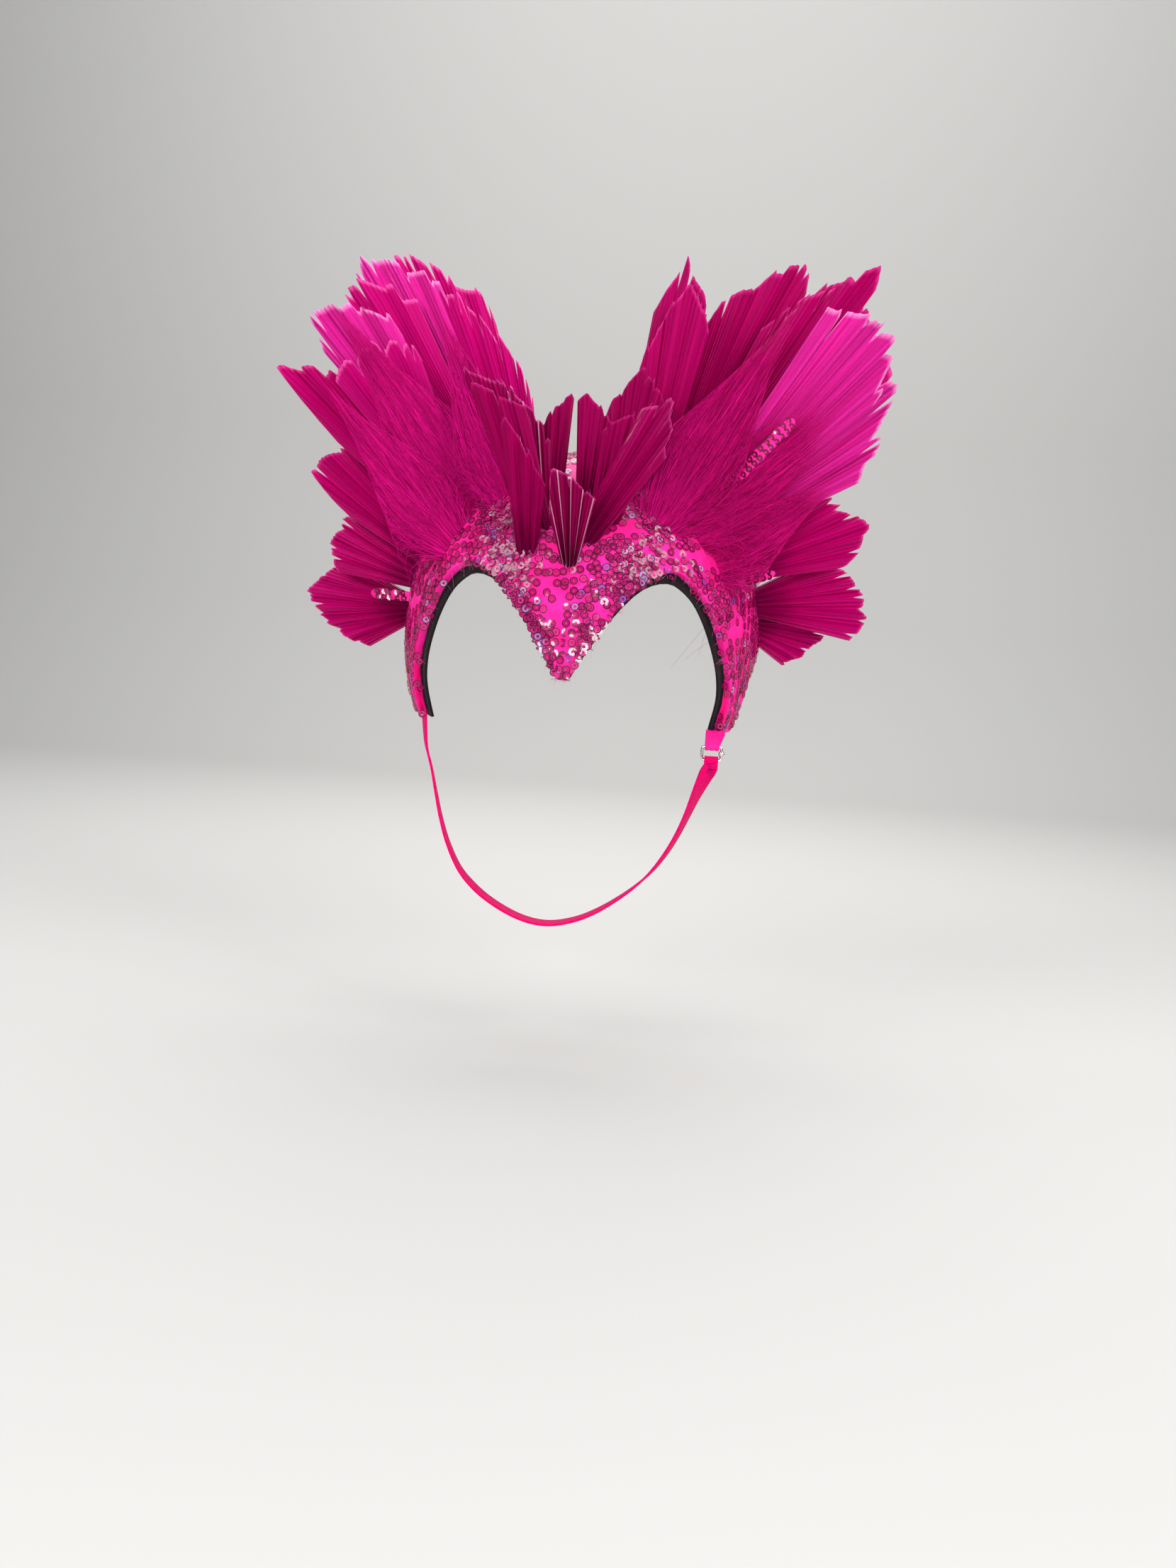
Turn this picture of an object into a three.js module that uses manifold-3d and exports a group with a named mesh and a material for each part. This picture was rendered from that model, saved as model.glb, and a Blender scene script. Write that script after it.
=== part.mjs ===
// Sequin headpiece: a padded cap front with a widow's peak, a felt lining, pleated palm leaves
// in two wings, soft feathers over their feet, and an elastic chin strap that hooks on at one end.
// Millimetres. +Z is up and -Y is the wearer's front. The origin is the inside of the crown,
// where the headpiece sits on the head. +X is the wearer's left. In the pieces' names left and right
// are as seen from the front, so a right piece is on the +X side.
import * as THREE from "three";
import { mergeVertices } from "three/addons/utils/BufferGeometryUtils.js";
import Module from "manifold-3d";

const wasm = await Module();
wasm.setup();

// The head that the headpiece is made for, a rounded box of revolution about its widest level.
const head = { halfWidth: 77, halfDepth: 92, up: 84, down: 75, power: 2.3, widestLevel: -84 };
const faceCentreLevel = -129; // the fan angles below turn about a Y axis at this level
const farOut = 300; // further out than any point of the headpiece
const halvings = 40; // of a search range, before its middle is taken
const gap = 0.3; // between pieces that touch
const liningThick = 1.2;
const liningShow = 2; // how far the felt shows past the cap's edge at the sides
const liningShort = 0.6; // how far it stops short of the edge at the peak
const liningTurn = { from: 16, over: 12 }; // fan degrees over which the one becomes the other
const padThick = 3.4;
const padInside = liningThick + gap;
const padOutside = padInside + padThick;
const padEdgeThin = 1.2; // how much the pad thins at its rolled edges
const edgeRoll = 0.025; // the share of the cap from front to rear that an edge rolls over
const capRows = 9;
const frontRises = { from: 0, to: 88 }; // where the cap's front edge is looked for
const topRises = { from: 26, to: 150 }; // where its rear edge and the seats on it are looked for

// The cap's edges, for the wearer's left half. fan: degrees from straight up. rim: the front edge's
// distance from the face centre, seen from the front. back: Y of the rear edge.
const capEdges = [
  { fan: 0, rim: 34, back: 40 },
  { fan: 5, rim: 35, back: 40 },
  { fan: 9, rim: 42, back: 40 },
  { fan: 12.5, rim: 49, back: 39 },
  { fan: 16, rim: 59, back: 38 },
  { fan: 19, rim: 69, back: 37 },
  { fan: 22, rim: 79, back: 36 },
  { fan: 25, rim: 85.5, back: 34 },
  { fan: 28.5, rim: 90, back: 31 },
  { fan: 32.5, rim: 90.5, back: 27 },
  { fan: 37, rim: 89.5, back: 20 },
  { fan: 43, rim: 86.5, back: 9 },
  { fan: 50, rim: 82.8, back: -5 },
  { fan: 58, rim: 79, back: -22 },
  { fan: 62, rim: 77, back: -33 },
  { fan: 66, rim: 74.8, back: -41 },
  { fan: 74, rim: 69.5, back: -45 },
  { fan: 79, rim: 67, back: -47 },
];

// Palm leaves. fan and depth: the angle and Y where the foot sits on the cap. spread: degrees from
// straight up, towards the wearer's left. lean: degrees backwards. open: degrees across the pleats.
// length: to the tip, which is at tip, -1 to 1 across. left and right: lengths of the two side pleats.
const leaves = [
  {
    name: "leaf_centre_1",
    fan: 0, depth: -92, spread: -2, lean: -13,
    open: 22, tip: -0.55, left: 20, length: 40, right: 27,
  },
  {
    name: "leaf_centre_2",
    fan: 3, depth: -88, spread: 31, lean: -4,
    open: 8, tip: -0.2, left: 58, length: 68, right: 50,
  },
  {
    name: "leaf_centre_3",
    fan: 7, depth: -82, spread: 13, lean: -3,
    open: 16, tip: 0.2, left: 36, length: 46, right: 38,
  },
  {
    name: "leaf_centre_4",
    fan: 3, depth: -76, spread: 7, lean: 5,
    open: 20, tip: -0.7, left: 41, length: 44, right: 24,
  },
  {
    name: "leaf_centre_5",
    fan: -6.5, depth: -70, spread: -1, lean: 9,
    open: 6, tip: 0.9, left: 24, length: 42, right: 40,
  },
  {
    name: "leaf_left_front_1",
    fan: -12, depth: -89, spread: -3, lean: -6,
    open: 10, tip: -0.8, left: 50, length: 54, right: 29,
  },
  {
    name: "leaf_left_front_2",
    fan: -9, depth: -85, spread: -19, lean: -3,
    open: 8, tip: -0.9, left: 64, length: 66, right: 48,
  },
  {
    name: "leaf_left_front_3",
    fan: -9, depth: -79, spread: -9, lean: 0,
    open: 8, tip: -0.9, left: 52, length: 54, right: 31,
  },
  {
    name: "leaf_left_front_4",
    fan: -10, depth: -73, spread: -18, lean: 4,
    open: 20, tip: -0.9, left: 61, length: 63, right: 28,
  },
  {
    name: "leaf_right_wing_1",
    fan: 31, depth: -52, spread: 51, lean: 3,
    open: 20, tip: -0.3, left: 89, length: 97, right: 63,
  },
  {
    name: "leaf_right_wing_2",
    fan: 27, depth: -57, spread: 39, lean: 2,
    open: 18, tip: 0.3, left: 104, length: 112, right: 92,
  },
  {
    name: "leaf_right_wing_3",
    fan: 23, depth: -48, spread: 32, lean: 6,
    open: 10, tip: 0.4, left: 92, length: 127, right: 105,
  },
  {
    name: "leaf_right_wing_4",
    fan: 21, depth: -38, spread: 32, lean: 9,
    open: 14, tip: 0.1, left: 80, length: 117, right: 100,
  },
  {
    name: "leaf_right_wing_5",
    fan: 17, depth: -33, spread: 20, lean: 13,
    open: 20, tip: 0.7, left: 73, length: 118, right: 95,
  },
  {
    name: "leaf_right_wing_6",
    fan: 30, depth: -43, spread: 36, lean: 7,
    open: 16, tip: -0.6, left: 109, length: 115, right: 95,
  },
  {
    name: "leaf_right_wing_7",
    fan: 13, depth: -55, spread: 6, lean: 9,
    open: 14, tip: 0.2, left: 52, length: 88, right: 72,
  },
  {
    name: "leaf_right_wing_8",
    fan: 10, depth: -47, spread: 11, lean: 12,
    open: 8, tip: -0.2, left: 72, length: 99, right: 78,
  },
  {
    name: "leaf_right_wing_9",
    fan: 8, depth: -65, spread: 6, lean: 7,
    open: 18, tip: 0.1, left: 31, length: 50, right: 40,
  },
  {
    name: "leaf_left_wing_1",
    fan: -27, depth: -56, spread: -34, lean: 3,
    open: 20, tip: -0.2, left: 81, length: 84, right: 73,
  },
  {
    name: "leaf_left_wing_2",
    fan: -25, depth: -51, spread: -38, lean: 5,
    open: 14, tip: -0.6, left: 92, length: 112, right: 90,
  },
  {
    name: "leaf_left_wing_3",
    fan: -21, depth: -46, spread: -36, lean: 8,
    open: 14, tip: -0.2, left: 100, length: 111, right: 92,
  },
  {
    name: "leaf_left_wing_4",
    fan: -18, depth: -41, spread: -31, lean: 10,
    open: 12, tip: -0.7, left: 116, length: 122, right: 92,
  },
  {
    name: "leaf_left_wing_5",
    fan: -14, depth: -36, spread: -28, lean: 13,
    open: 16, tip: -0.7, left: 112, length: 120, right: 80,
  },
  {
    name: "leaf_left_wing_6",
    fan: -12, depth: -53, spread: -18, lean: 8,
    open: 16, tip: -0.9, left: 90, length: 92, right: 36,
  },
  {
    name: "leaf_left_wing_7",
    fan: -32, depth: -47, spread: -46, lean: 6,
    open: 12, tip: -0.6, left: 66, length: 103, right: 80,
  },
  {
    name: "leaf_right_side_1",
    fan: 40, depth: -34, spread: 65, lean: 13,
    open: 28, tip: 0.2, left: 47, length: 60, right: 46,
  },
  {
    name: "leaf_right_side_2",
    fan: 48, depth: -27, spread: 80, lean: 18,
    open: 38, tip: 0.5, left: 42, length: 56, right: 50,
  },
  {
    name: "leaf_right_side_3",
    fan: 54, depth: -20, spread: 102, lean: 22,
    open: 40, tip: -0.6, left: 40, length: 36, right: 20,
  },
  {
    name: "leaf_left_side_1",
    fan: -40, depth: -38, spread: -50, lean: 10,
    open: 22, tip: -0.6, left: 40, length: 68, right: 57,
  },
  {
    name: "leaf_left_side_2",
    fan: -46, depth: -30, spread: -66, lean: 18,
    open: 30, tip: -0.2, left: 42, length: 50, right: 43,
  },
  {
    name: "leaf_left_side_3",
    fan: -54, depth: -22, spread: -92, lean: 20,
    open: 51, tip: 0.2, left: 28, length: 58, right: 40,
  },
];
const leafFoot = 12; // width of a leaf where it meets the cap
const leafThick = 1;
const leafSink = 10; // each leaf is drawn this far into the cap, and trimmed to sit on it
const pleatHeight = 0.9;
const pleatNotch = 3; // how much shorter the valleys are than the ridges
const pleatPairs = { least: 2, degrees: 10 }; // the fewest, and how much opening adds one more
const leafRows = [0, 0.3, 1]; // shares of its length

// Feathers over the feet of the leaves. curl: how far the tip bends towards the piece's right side.
const feathers = [
  {
    name: "feather_right_1",
    fan: 19, depth: -73, spread: 26, lean: -1,
    length: 92, width: 34, thick: 4, curl: 6,
  },
  {
    name: "feather_right_2",
    fan: 26, depth: -66, spread: 44, lean: 0,
    length: 100, width: 34, thick: 3.6, curl: 4,
  },
  {
    name: "feather_right_3",
    fan: 34, depth: -62, spread: 60, lean: 0,
    length: 52, width: 30, thick: 4, curl: -4,
  },
  {
    name: "feather_left_1",
    fan: -15, depth: -68, spread: -22, lean: 3.5,
    length: 74, width: 28, thick: 4, curl: -4,
  },
  {
    name: "feather_left_2",
    fan: -24, depth: -62, spread: -36, lean: 3,
    length: 96, width: 34, thick: 3.6, curl: -4,
  },
  {
    name: "feather_left_3",
    fan: -31, depth: -68, spread: -46, lean: -1,
    length: 76, width: 30, thick: 3.6, curl: 4,
  },
];
const featherLocks = 4;
const featherNotch = 7; // how deep the notches between the locks are
const featherFoot = 9; // its width at the foot
const featherSink = 8;
const featherRound = 0.28; // how much shorter its side locks are, as a share
const featherFullest = 0.8; // at 1 it is widest half way up, and nearer the foot below 1
const featherSideThin = 0.6; // how much thinner its sides are, as a share
const featherEdge = 0.7; // half its thickness at the ends
const featherTaper = 0.95; // the share of its length where it is as thin as its ends
const lockRipple = 0.25;
const featherRows = [0, 0.14, 0.35, 0.6, 0.82, 1]; // shares of its length

// Frayed strips of sequin cloth between the leaves.
const tabs = [
  { name: "fabric_tab_right_1", fan: 24.5, depth: -69.4, spread: 42, lean: 0, length: 62, width: 5.5 },
  { name: "fabric_tab_right_2", fan: 42, depth: -46, spread: 72, lean: 0, length: 14, width: 5 },
  { name: "fabric_tab_left_1", fan: -36, depth: -58, spread: -58, lean: 0, length: 26, width: 7 },
  { name: "fabric_tab_left_2", fan: -50, depth: -40, spread: -88, lean: 4, length: 18, width: 5 },
];
const tabThick = 1.2;
const tabSink = 6;
const tabRound = 2.5; // how much shorter its corners are
const tabColumns = [-1, -0.3, 0.4, 1]; // across it

// The chin strap is flat elastic. It starts between the pad and the lining, under the end of the
// band at -X. Its path is as seen from the front. turn: degrees its face turns from looking outwards
// to looking ahead. width: where it is gathered, in place of strapWidth.
const strapWidth = 8.5;
const strapThick = 1;
const strapTop = { fan: -79.6, rise: 52, outside: 2.6 };
const strapCentreLevel = -140;
const strapPath = [
  { x: -62.7, y: -53.8, z: -129.3, turn: 13 },
  { x: -59.7, y: -54, z: -140, turn: 11 },
  { x: -57.2, y: -54.2, z: -150.7, turn: 9 },
  { x: -54.5, y: -54.5, z: -161.4, turn: 7 },
  { x: -50.8, y: -54.8, z: -172.3, turn: 5 },
  { x: -45.3, y: -55, z: -183.1, turn: 3 },
  { x: -38.6, y: -55.2, z: -190.6, turn: 0 },
  { x: -30.6, y: -55.2, z: -196.7, turn: 0 },
  { x: -20.4, y: -55.2, z: -202, turn: 0 },
  { x: -11, y: -55, z: -204.8, turn: 0 },
  { x: -2, y: -55, z: -205, turn: 0 },
  { x: 8, y: -55, z: -202.4, turn: 0 },
  { x: 17, y: -55, z: -198, turn: 0 },
  { x: 26, y: -55.2, z: -191.8, turn: 2 },
  { x: 34, y: -55.4, z: -185, turn: 5 },
  { x: 40.4, y: -55.4, z: -178.1, turn: 9 },
  { x: 46.1, y: -55.8, z: -169.5, turn: 12 },
  { x: 50.5, y: -56.4, z: -160.8, turn: 14 },
  { x: 54, y: -57, z: -152.1, turn: 18 },
  { x: 57.1, y: -57.6, z: -143.4, turn: 27 },
  { x: 60.4, y: -58, z: -135, turn: 44, width: 8 },
  { x: 62, y: -58.3, z: -131.6, turn: 70, width: 6.8 },
];

// The hook between the loop under the band and the strap. x, y and z: its middle. corner: the power
// that squares its ring, less is squarer. The ball is on its +X side, a little in front.
const hook = { x: 62.6, y: -57, z: -124.6, halfWide: 4.2, halfHigh: 3.1, wire: 1.3, corner: 0.4 };
const hookBall = { across: 2.8, front: 0.4 };
const hookFacets = { corners: 16, along: 32, around: 6, ballAround: 12, ballDown: 8 };
const eyeWidth = 6;
const eyeLegs = [3, 1]; // how far below the hook's bar its legs are drawn
const eyeStep = 30; // degrees between the stations of a turn over the bar
const bandLoopRise = 3.4; // from the hook's bar to the loop's top

// A point (x, y, z) is on the head form, grown outwards by `grow`, where this is 0.
function formValue(x, y, z, grow) {
  const rise = z - head.widestLevel;
  const vertical = (rise > 0 ? head.up : head.down) + grow;
  return (
    Math.abs(x / (head.halfWidth + grow)) ** head.power +
    Math.abs(y / (head.halfDepth + grow)) ** head.power +
    Math.abs(rise / vertical) ** head.power -
    1
  );
}

// Where the grown form is met in a fan plane. rise: degrees up and back from straight ahead.
function formAt(fan, rise, grow) {
  const turn = THREE.MathUtils.degToRad(fan);
  const tilt = THREE.MathUtils.degToRad(rise);
  const away = Math.sin(tilt);
  const way = new THREE.Vector3(away * Math.sin(turn), -Math.cos(tilt), away * Math.cos(turn));
  let near = 0;
  let far = farOut;
  for (let step = 0; step < halvings; step++) {
    const reach = (near + far) / 2;
    const z = faceCentreLevel + way.z * reach;
    if (formValue(way.x * reach, way.y * reach, z, grow) < 0) near = reach;
    else far = reach;
  }
  return way.multiplyScalar(near).add(new THREE.Vector3(0, 0, faceCentreLevel));
}

// The rise between two limits at which a measure of the form's outside reaches a wanted value.
function riseWhere(fan, measure, wanted, rises) {
  let low = rises.from;
  let high = rises.to;
  for (let step = 0; step < halvings; step++) {
    const rise = (low + high) / 2;
    if (measure(formAt(fan, rise, padOutside)) < wanted) low = rise;
    else high = rise;
  }
  return (low + high) / 2;
}

const reachOf = (point) => Math.hypot(point.x, point.z - faceCentreLevel);
const depthOf = (point) => point.y;

// The way straight out of the form at a point on it.
function formNormal(point) {
  const steepness = (share) => Math.sign(share) * Math.abs(share) ** (head.power - 1);
  const slope = (value, half) => steepness(value / half) / half;
  const rise = point.z - head.widestLevel;
  return new THREE.Vector3(
    slope(point.x, head.halfWidth),
    slope(point.y, head.halfDepth),
    slope(rise, rise > 0 ? head.up : head.down),
  ).normalize();
}

// A closed wall between two grids of points, front[column][row] and back[column][row].
function closedWall(front, back) {
  const columns = front.length;
  const rows = front[0].length;
  const points = [...front.flat(), ...back.flat()];
  const at = (side, column, row) => side * columns * rows + column * rows + row;
  const faces = [];
  const quad = (a, b, c, d) => faces.push(a, b, c, a, c, d);
  for (let c = 0; c + 1 < columns; c++) {
    for (let r = 0; r + 1 < rows; r++) {
      quad(at(0, c, r), at(0, c + 1, r), at(0, c + 1, r + 1), at(0, c, r + 1));
      quad(at(1, c, r), at(1, c, r + 1), at(1, c + 1, r + 1), at(1, c + 1, r));
    }
    quad(at(0, c + 1, 0), at(0, c, 0), at(1, c, 0), at(1, c + 1, 0));
    quad(at(0, c, rows - 1), at(0, c + 1, rows - 1), at(1, c + 1, rows - 1), at(1, c, rows - 1));
  }
  const last = columns - 1;
  for (let r = 0; r + 1 < rows; r++) {
    quad(at(0, 0, r), at(0, 0, r + 1), at(1, 0, r + 1), at(1, 0, r));
    quad(at(0, last, r + 1), at(0, last, r), at(1, last, r), at(1, last, r + 1));
  }
  return facingOut(points, faces);
}

// Turns a closed mesh's faces outwards, and makes it a geometry.
function facingOut(points, faces) {
  let volume = 0;
  for (let i = 0; i < faces.length; i += 3) {
    const [a, b, c] = [points[faces[i]], points[faces[i + 1]], points[faces[i + 2]]];
    volume += a.dot(new THREE.Vector3().crossVectors(b, c));
  }
  if (volume < 0) faces.reverse();
  const geometry = new THREE.BufferGeometry().setFromPoints(points);
  geometry.setIndex(faces);
  return geometry;
}

function toSolid(geometry) {
  const bare = geometry.clone();
  bare.deleteAttribute("normal");
  bare.deleteAttribute("uv");
  const merged = mergeVertices(bare, 1e-4);
  return new wasm.Manifold(
    new wasm.Mesh({
      numProp: 3,
      vertProperties: new Float32Array(merged.attributes.position.array),
      triVerts: new Uint32Array(merged.index.array),
    }),
  );
}

function toGeometry(solid) {
  const mesh = solid.getMesh();
  const geometry = new THREE.BufferGeometry();
  geometry.setAttribute("position", new THREE.BufferAttribute(mesh.vertProperties, 3));
  geometry.setIndex(new THREE.BufferAttribute(mesh.triVerts, 1));
  return geometry;
}

// The cap's edges at any fan angle, smoothed through the table and mirrored to the wearer's right.
function edgesAt(fan) {
  const line = new THREE.CatmullRomCurve3(
    capEdges.map((edge) => new THREE.Vector3(edge.fan, edge.rim, edge.back)),
    false,
    "centripetal",
  );
  const wanted = Math.abs(fan);
  let low = 0;
  let high = 1;
  for (let step = 0; step < halvings; step++) {
    const middle = (low + high) / 2;
    if (line.getPoint(middle).x < wanted) low = middle;
    else high = middle;
  }
  const found = line.getPoint((low + high) / 2);
  return { rim: found.y, back: found.z };
}

// One layer of the cap, between two distances outside the head. edge: how much its edges thin.
// isLining: it shows past the cap's own edge at the sides, and stops short of it at the peak.
function capLayer(inside, outside, edge, isLining) {
  const half = capEdges.map((edge) => edge.fan);
  const fans = [...half.slice(1).reverse().map((fan) => -fan), ...half];
  const between = Array.from({ length: capRows - 1 }, (_, i) => (i + 1) / capRows);
  const shares = [0, edgeRoll, ...between, 1 - edgeRoll, 1];
  const outer = [];
  const inner = [];
  for (const fan of fans) {
    const edges = edgesAt(fan);
    const side = THREE.MathUtils.clamp((Math.abs(fan) - liningTurn.from) / liningTurn.over, 0, 1);
    const show = isLining ? liningShow * side - liningShort * (1 - side) : 0;
    const front = riseWhere(fan, reachOf, edges.rim - show, frontRises);
    const back = riseWhere(fan, depthOf, edges.back - Math.max(0, show), topRises);
    const column = (grow, thin) =>
      shares.map((share, i) => {
        const atEdge = i === 0 || i === shares.length - 1;
        return formAt(fan, front + (back - front) * share, grow - (atEdge ? thin : 0));
      });
    outer.push(column(outside, edge));
    inner.push(column(inside, 0));
  }
  return closedWall(outer, inner);
}

// A leaf's two faces as grids, in its own axes: x across, y along, z towards its front.
function leafSheets(leaf) {
  const half = THREE.MathUtils.degToRad(leaf.open / 2);
  const apex = leafFoot / 2 / Math.sin(half);
  const pleats = 2 * Math.round(pleatPairs.least + leaf.open / pleatPairs.degrees);
  const front = [];
  const back = [];
  for (let fold = 0; fold <= pleats; fold++) {
    const across = (2 * fold) / pleats - 1;
    const ridge = fold % 2 ? 1 : -1;
    const side = across < leaf.tip ? leaf.left : leaf.right;
    const share = (across - leaf.tip) / (across < leaf.tip ? -1 - leaf.tip : 1 - leaf.tip);
    const reach = leaf.length + (side - leaf.length) * share - (ridge < 0 ? pleatNotch : 0);
    const line = (lift) =>
      leafRows.map((row) => {
        const out = apex - leafSink + (reach + leafSink) * row;
        const height = (pleatHeight * ridge * (1 + row)) / 2;
        const angle = across * half;
        return new THREE.Vector3(out * Math.sin(angle), out * Math.cos(angle) - apex, height + lift);
      });
    front.push(line(leafThick / 2));
    back.push(line(-leafThick / 2));
  }
  return { front, back };
}

// The matrix that stands a piece's own axes on its seat on the cap.
function seatMatrix(piece) {
  const rise = riseWhere(piece.fan, depthOf, piece.depth, topRises);
  const seat = formAt(piece.fan, rise, padOutside + gap);
  const spread = THREE.MathUtils.degToRad(piece.spread);
  const lean = THREE.MathUtils.degToRad(piece.lean);
  const flat = Math.cos(lean);
  const along = new THREE.Vector3(Math.sin(spread) * flat, Math.sin(lean), Math.cos(spread) * flat);
  const across = new THREE.Vector3(Math.cos(spread), 0, -Math.sin(spread));
  const towards = new THREE.Vector3().crossVectors(across, along);
  return new THREE.Matrix4().makeBasis(across, along, towards).setPosition(seat);
}

// A thick layer on the cap's own facets, which trims what sits on it.
const trimDepth = 16;
const trim = toSolid(capLayer(-trimDepth, padOutside + gap, 0, false));

// A closed wall stood on its seat and trimmed to the cap.
function seated(piece, { front, back }) {
  const whole = closedWall(front, back).applyMatrix4(seatMatrix(piece));
  return toGeometry(toSolid(whole).subtract(trim));
}

// A feather's two faces: locks of down, thick in the middle, on a soft backing that they share.
function featherSheets(feather) {
  const front = [];
  const back = [];
  for (let lock = 0; lock <= 2 * featherLocks; lock++) {
    const across = lock / featherLocks - 1;
    const tip = lock % 2 ? 0 : featherNotch;
    const reach = feather.length * (1 - featherRound * across * across) - tip;
    const line = (side) =>
      featherRows.map((row) => {
        const y = -featherSink + (reach + featherSink) * row;
        const share = THREE.MathUtils.clamp(y / feather.length, 0, 1);
        const swell = Math.sin(Math.PI * share ** featherFullest);
        const half = (featherFoot + (feather.width - featherFoot) * swell) / 2;
        const full = Math.sin(Math.PI * row * featherTaper) * (1 - featherSideThin * across * across);
        const thick = featherEdge + (feather.thick / 2 - featherEdge) * full;
        const curl = feather.curl * share * share;
        const ripple = lock % 2 ? lockRipple : -lockRipple;
        return new THREE.Vector3(across * half + curl, y, side * thick + ripple);
      });
    front.push(line(1));
    back.push(line(-1));
  }
  return { front, back };
}

// A frayed strip of the cap's cloth, standing up from the cap.
function tabSheets(tab) {
  const front = [];
  const back = [];
  for (const across of tabColumns) {
    const rows = [-tabSink, tab.length / 2, tab.length - tabRound * Math.abs(across)];
    const line = (lift) => rows.map((y) => new THREE.Vector3((across * tab.width) / 2, y, lift));
    front.push(line(tabThick / 2));
    back.push(line(-tabThick / 2));
  }
  return { front, back };
}

// A flat band along stations of { at, out, width }, where out is the way its face looks.
function flatBand(stations, thick) {
  const front = [];
  const back = [];
  stations.forEach((station, i) => {
    const before = stations[Math.max(0, i - 1)].at;
    const after = stations[Math.min(stations.length - 1, i + 1)].at;
    const forward = after.clone().sub(before).normalize();
    const across = new THREE.Vector3().crossVectors(forward, station.out).normalize();
    const out = new THREE.Vector3().crossVectors(across, forward);
    const point = (side, face) =>
      station.at
        .clone()
        .addScaledVector(across, (side * station.width) / 2)
        .addScaledVector(out, (face * thick) / 2);
    front.push([point(-1, 1), point(0, 1), point(1, 1)]);
    back.push([point(-1, -1), point(0, -1), point(1, -1)]);
  });
  return closedWall(front, back);
}

// From the middle of the hook's wire to the middle of a band that turns over it.
const barReach = hook.wire / 2 + gap + strapThick / 2;

// The stations of an eye of elastic that turns over a bar, from its front leg to its back leg.
function eyeOver(bar) {
  const stations = [];
  const add = (y, z, outY, outZ) => {
    const at = new THREE.Vector3(bar.x, bar.y + y, bar.z + z);
    stations.push({ at, out: new THREE.Vector3(0, outY, outZ), width: eyeWidth });
  };
  for (const length of eyeLegs) add(-barReach, -length, -1, 0);
  for (let turn = 0; turn <= 180; turn += eyeStep) {
    const angle = THREE.MathUtils.degToRad(turn);
    add(-barReach * Math.cos(angle), barReach * Math.sin(angle), -Math.cos(angle), Math.sin(angle));
  }
  for (const length of [...eyeLegs].reverse()) add(barReach, -length, 1, 0);
  return stations;
}

// The chin strap: from under the band's end at -X, under the chin, and up to an eye on the hook.
function strapStations() {
  const top = formAt(strapTop.fan, strapTop.rise, strapTop.outside);
  const stations = [{ at: top, out: formNormal(top), width: strapWidth }];
  for (const stop of strapPath) {
    const at = new THREE.Vector3(stop.x, stop.y, stop.z);
    const outward = new THREE.Vector3(stop.x, 0, stop.z - strapCentreLevel).normalize();
    const turn = THREE.MathUtils.degToRad(stop.turn);
    const out = outward.multiplyScalar(Math.cos(turn)).add(new THREE.Vector3(0, -Math.sin(turn), 0));
    stations.push({ at, out, width: stop.width ?? strapWidth });
  }
  const bar = new THREE.Vector3(hook.x, hook.y, hook.z - hook.halfHigh);
  return [...stations, ...eyeOver(bar)];
}

// The loop of gathered cloth under the band, closed round the hook's upper bar.
function bandLoop() {
  const bar = new THREE.Vector3(hook.x, hook.y, hook.z + hook.halfHigh);
  const outline = (grow) => {
    const shape = [];
    const radius = barReach + grow;
    for (const [from, centre] of [[0, 0], [180, bandLoopRise - barReach]]) {
      for (let turn = from; turn <= from + 180; turn += eyeStep) {
        const angle = THREE.MathUtils.degToRad(turn);
        shape.push(new THREE.Vector2(radius * Math.cos(angle), centre - radius * Math.sin(angle)));
      }
    }
    return shape;
  };
  const shape = new THREE.Shape(outline(strapThick / 2));
  shape.holes.push(new THREE.Path(outline(-strapThick / 2).reverse()));
  const extrusion = { depth: eyeWidth, bevelEnabled: false, curveSegments: 1 };
  const solid = new THREE.ExtrudeGeometry(shape, extrusion);
  // The shape's x runs back along Y, its y up Z, and the width along X.
  const place = new THREE.Matrix4().makeBasis(
    new THREE.Vector3(0, 1, 0),
    new THREE.Vector3(0, 0, 1),
    new THREE.Vector3(1, 0, 0),
  );
  solid.applyMatrix4(place);
  solid.translate(bar.x - eyeWidth / 2, bar.y, bar.z);
  return toGeometry(toSolid(solid));
}

// The silver hook: a wire ring with square corners, and a ball at its side.
function hookGeometry() {
  const points = [];
  const square = (value) => Math.sign(value) * Math.abs(value) ** hook.corner;
  for (let i = 0; i < hookFacets.corners; i++) {
    const angle = (i / hookFacets.corners) * 2 * Math.PI;
    const x = hook.x + hook.halfWide * square(Math.cos(angle));
    const z = hook.z + hook.halfHigh * square(Math.sin(angle));
    points.push(new THREE.Vector3(x, hook.y, z));
  }
  const line = new THREE.CatmullRomCurve3(points, true);
  const ring = new THREE.TubeGeometry(line, hookFacets.along, hook.wire / 2, hookFacets.around, true);
  const { ballAround, ballDown } = hookFacets;
  const ball = new THREE.SphereGeometry(hookBall.across / 2, ballAround, ballDown);
  ball.translate(hook.x + hook.halfWide, hook.y - hookBall.front, hook.z);
  return toGeometry(toSolid(ring).add(toSolid(ball)));
}

const finish = (color, roughness, metalness) =>
  new THREE.MeshStandardMaterial({ color, roughness, metalness });
const sequinCloth = finish(0xf0308c, 0.45, 0.1);
const blackFelt = finish(0x0c0a0b, 0.95, 0);
const dyedPalm = finish(0xb00058, 0.55, 0);
const dyedDown = finish(0xc8006e, 0.8, 0);
const elastic = finish(0xff2f83, 0.6, 0);
const silverWire = finish(0xd8d8dc, 0.25, 1);

const headpiece = new THREE.Group();
function add(name, geometry, material) {
  const mesh = new THREE.Mesh(geometry, material);
  mesh.name = name;
  headpiece.add(mesh);
}

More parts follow.
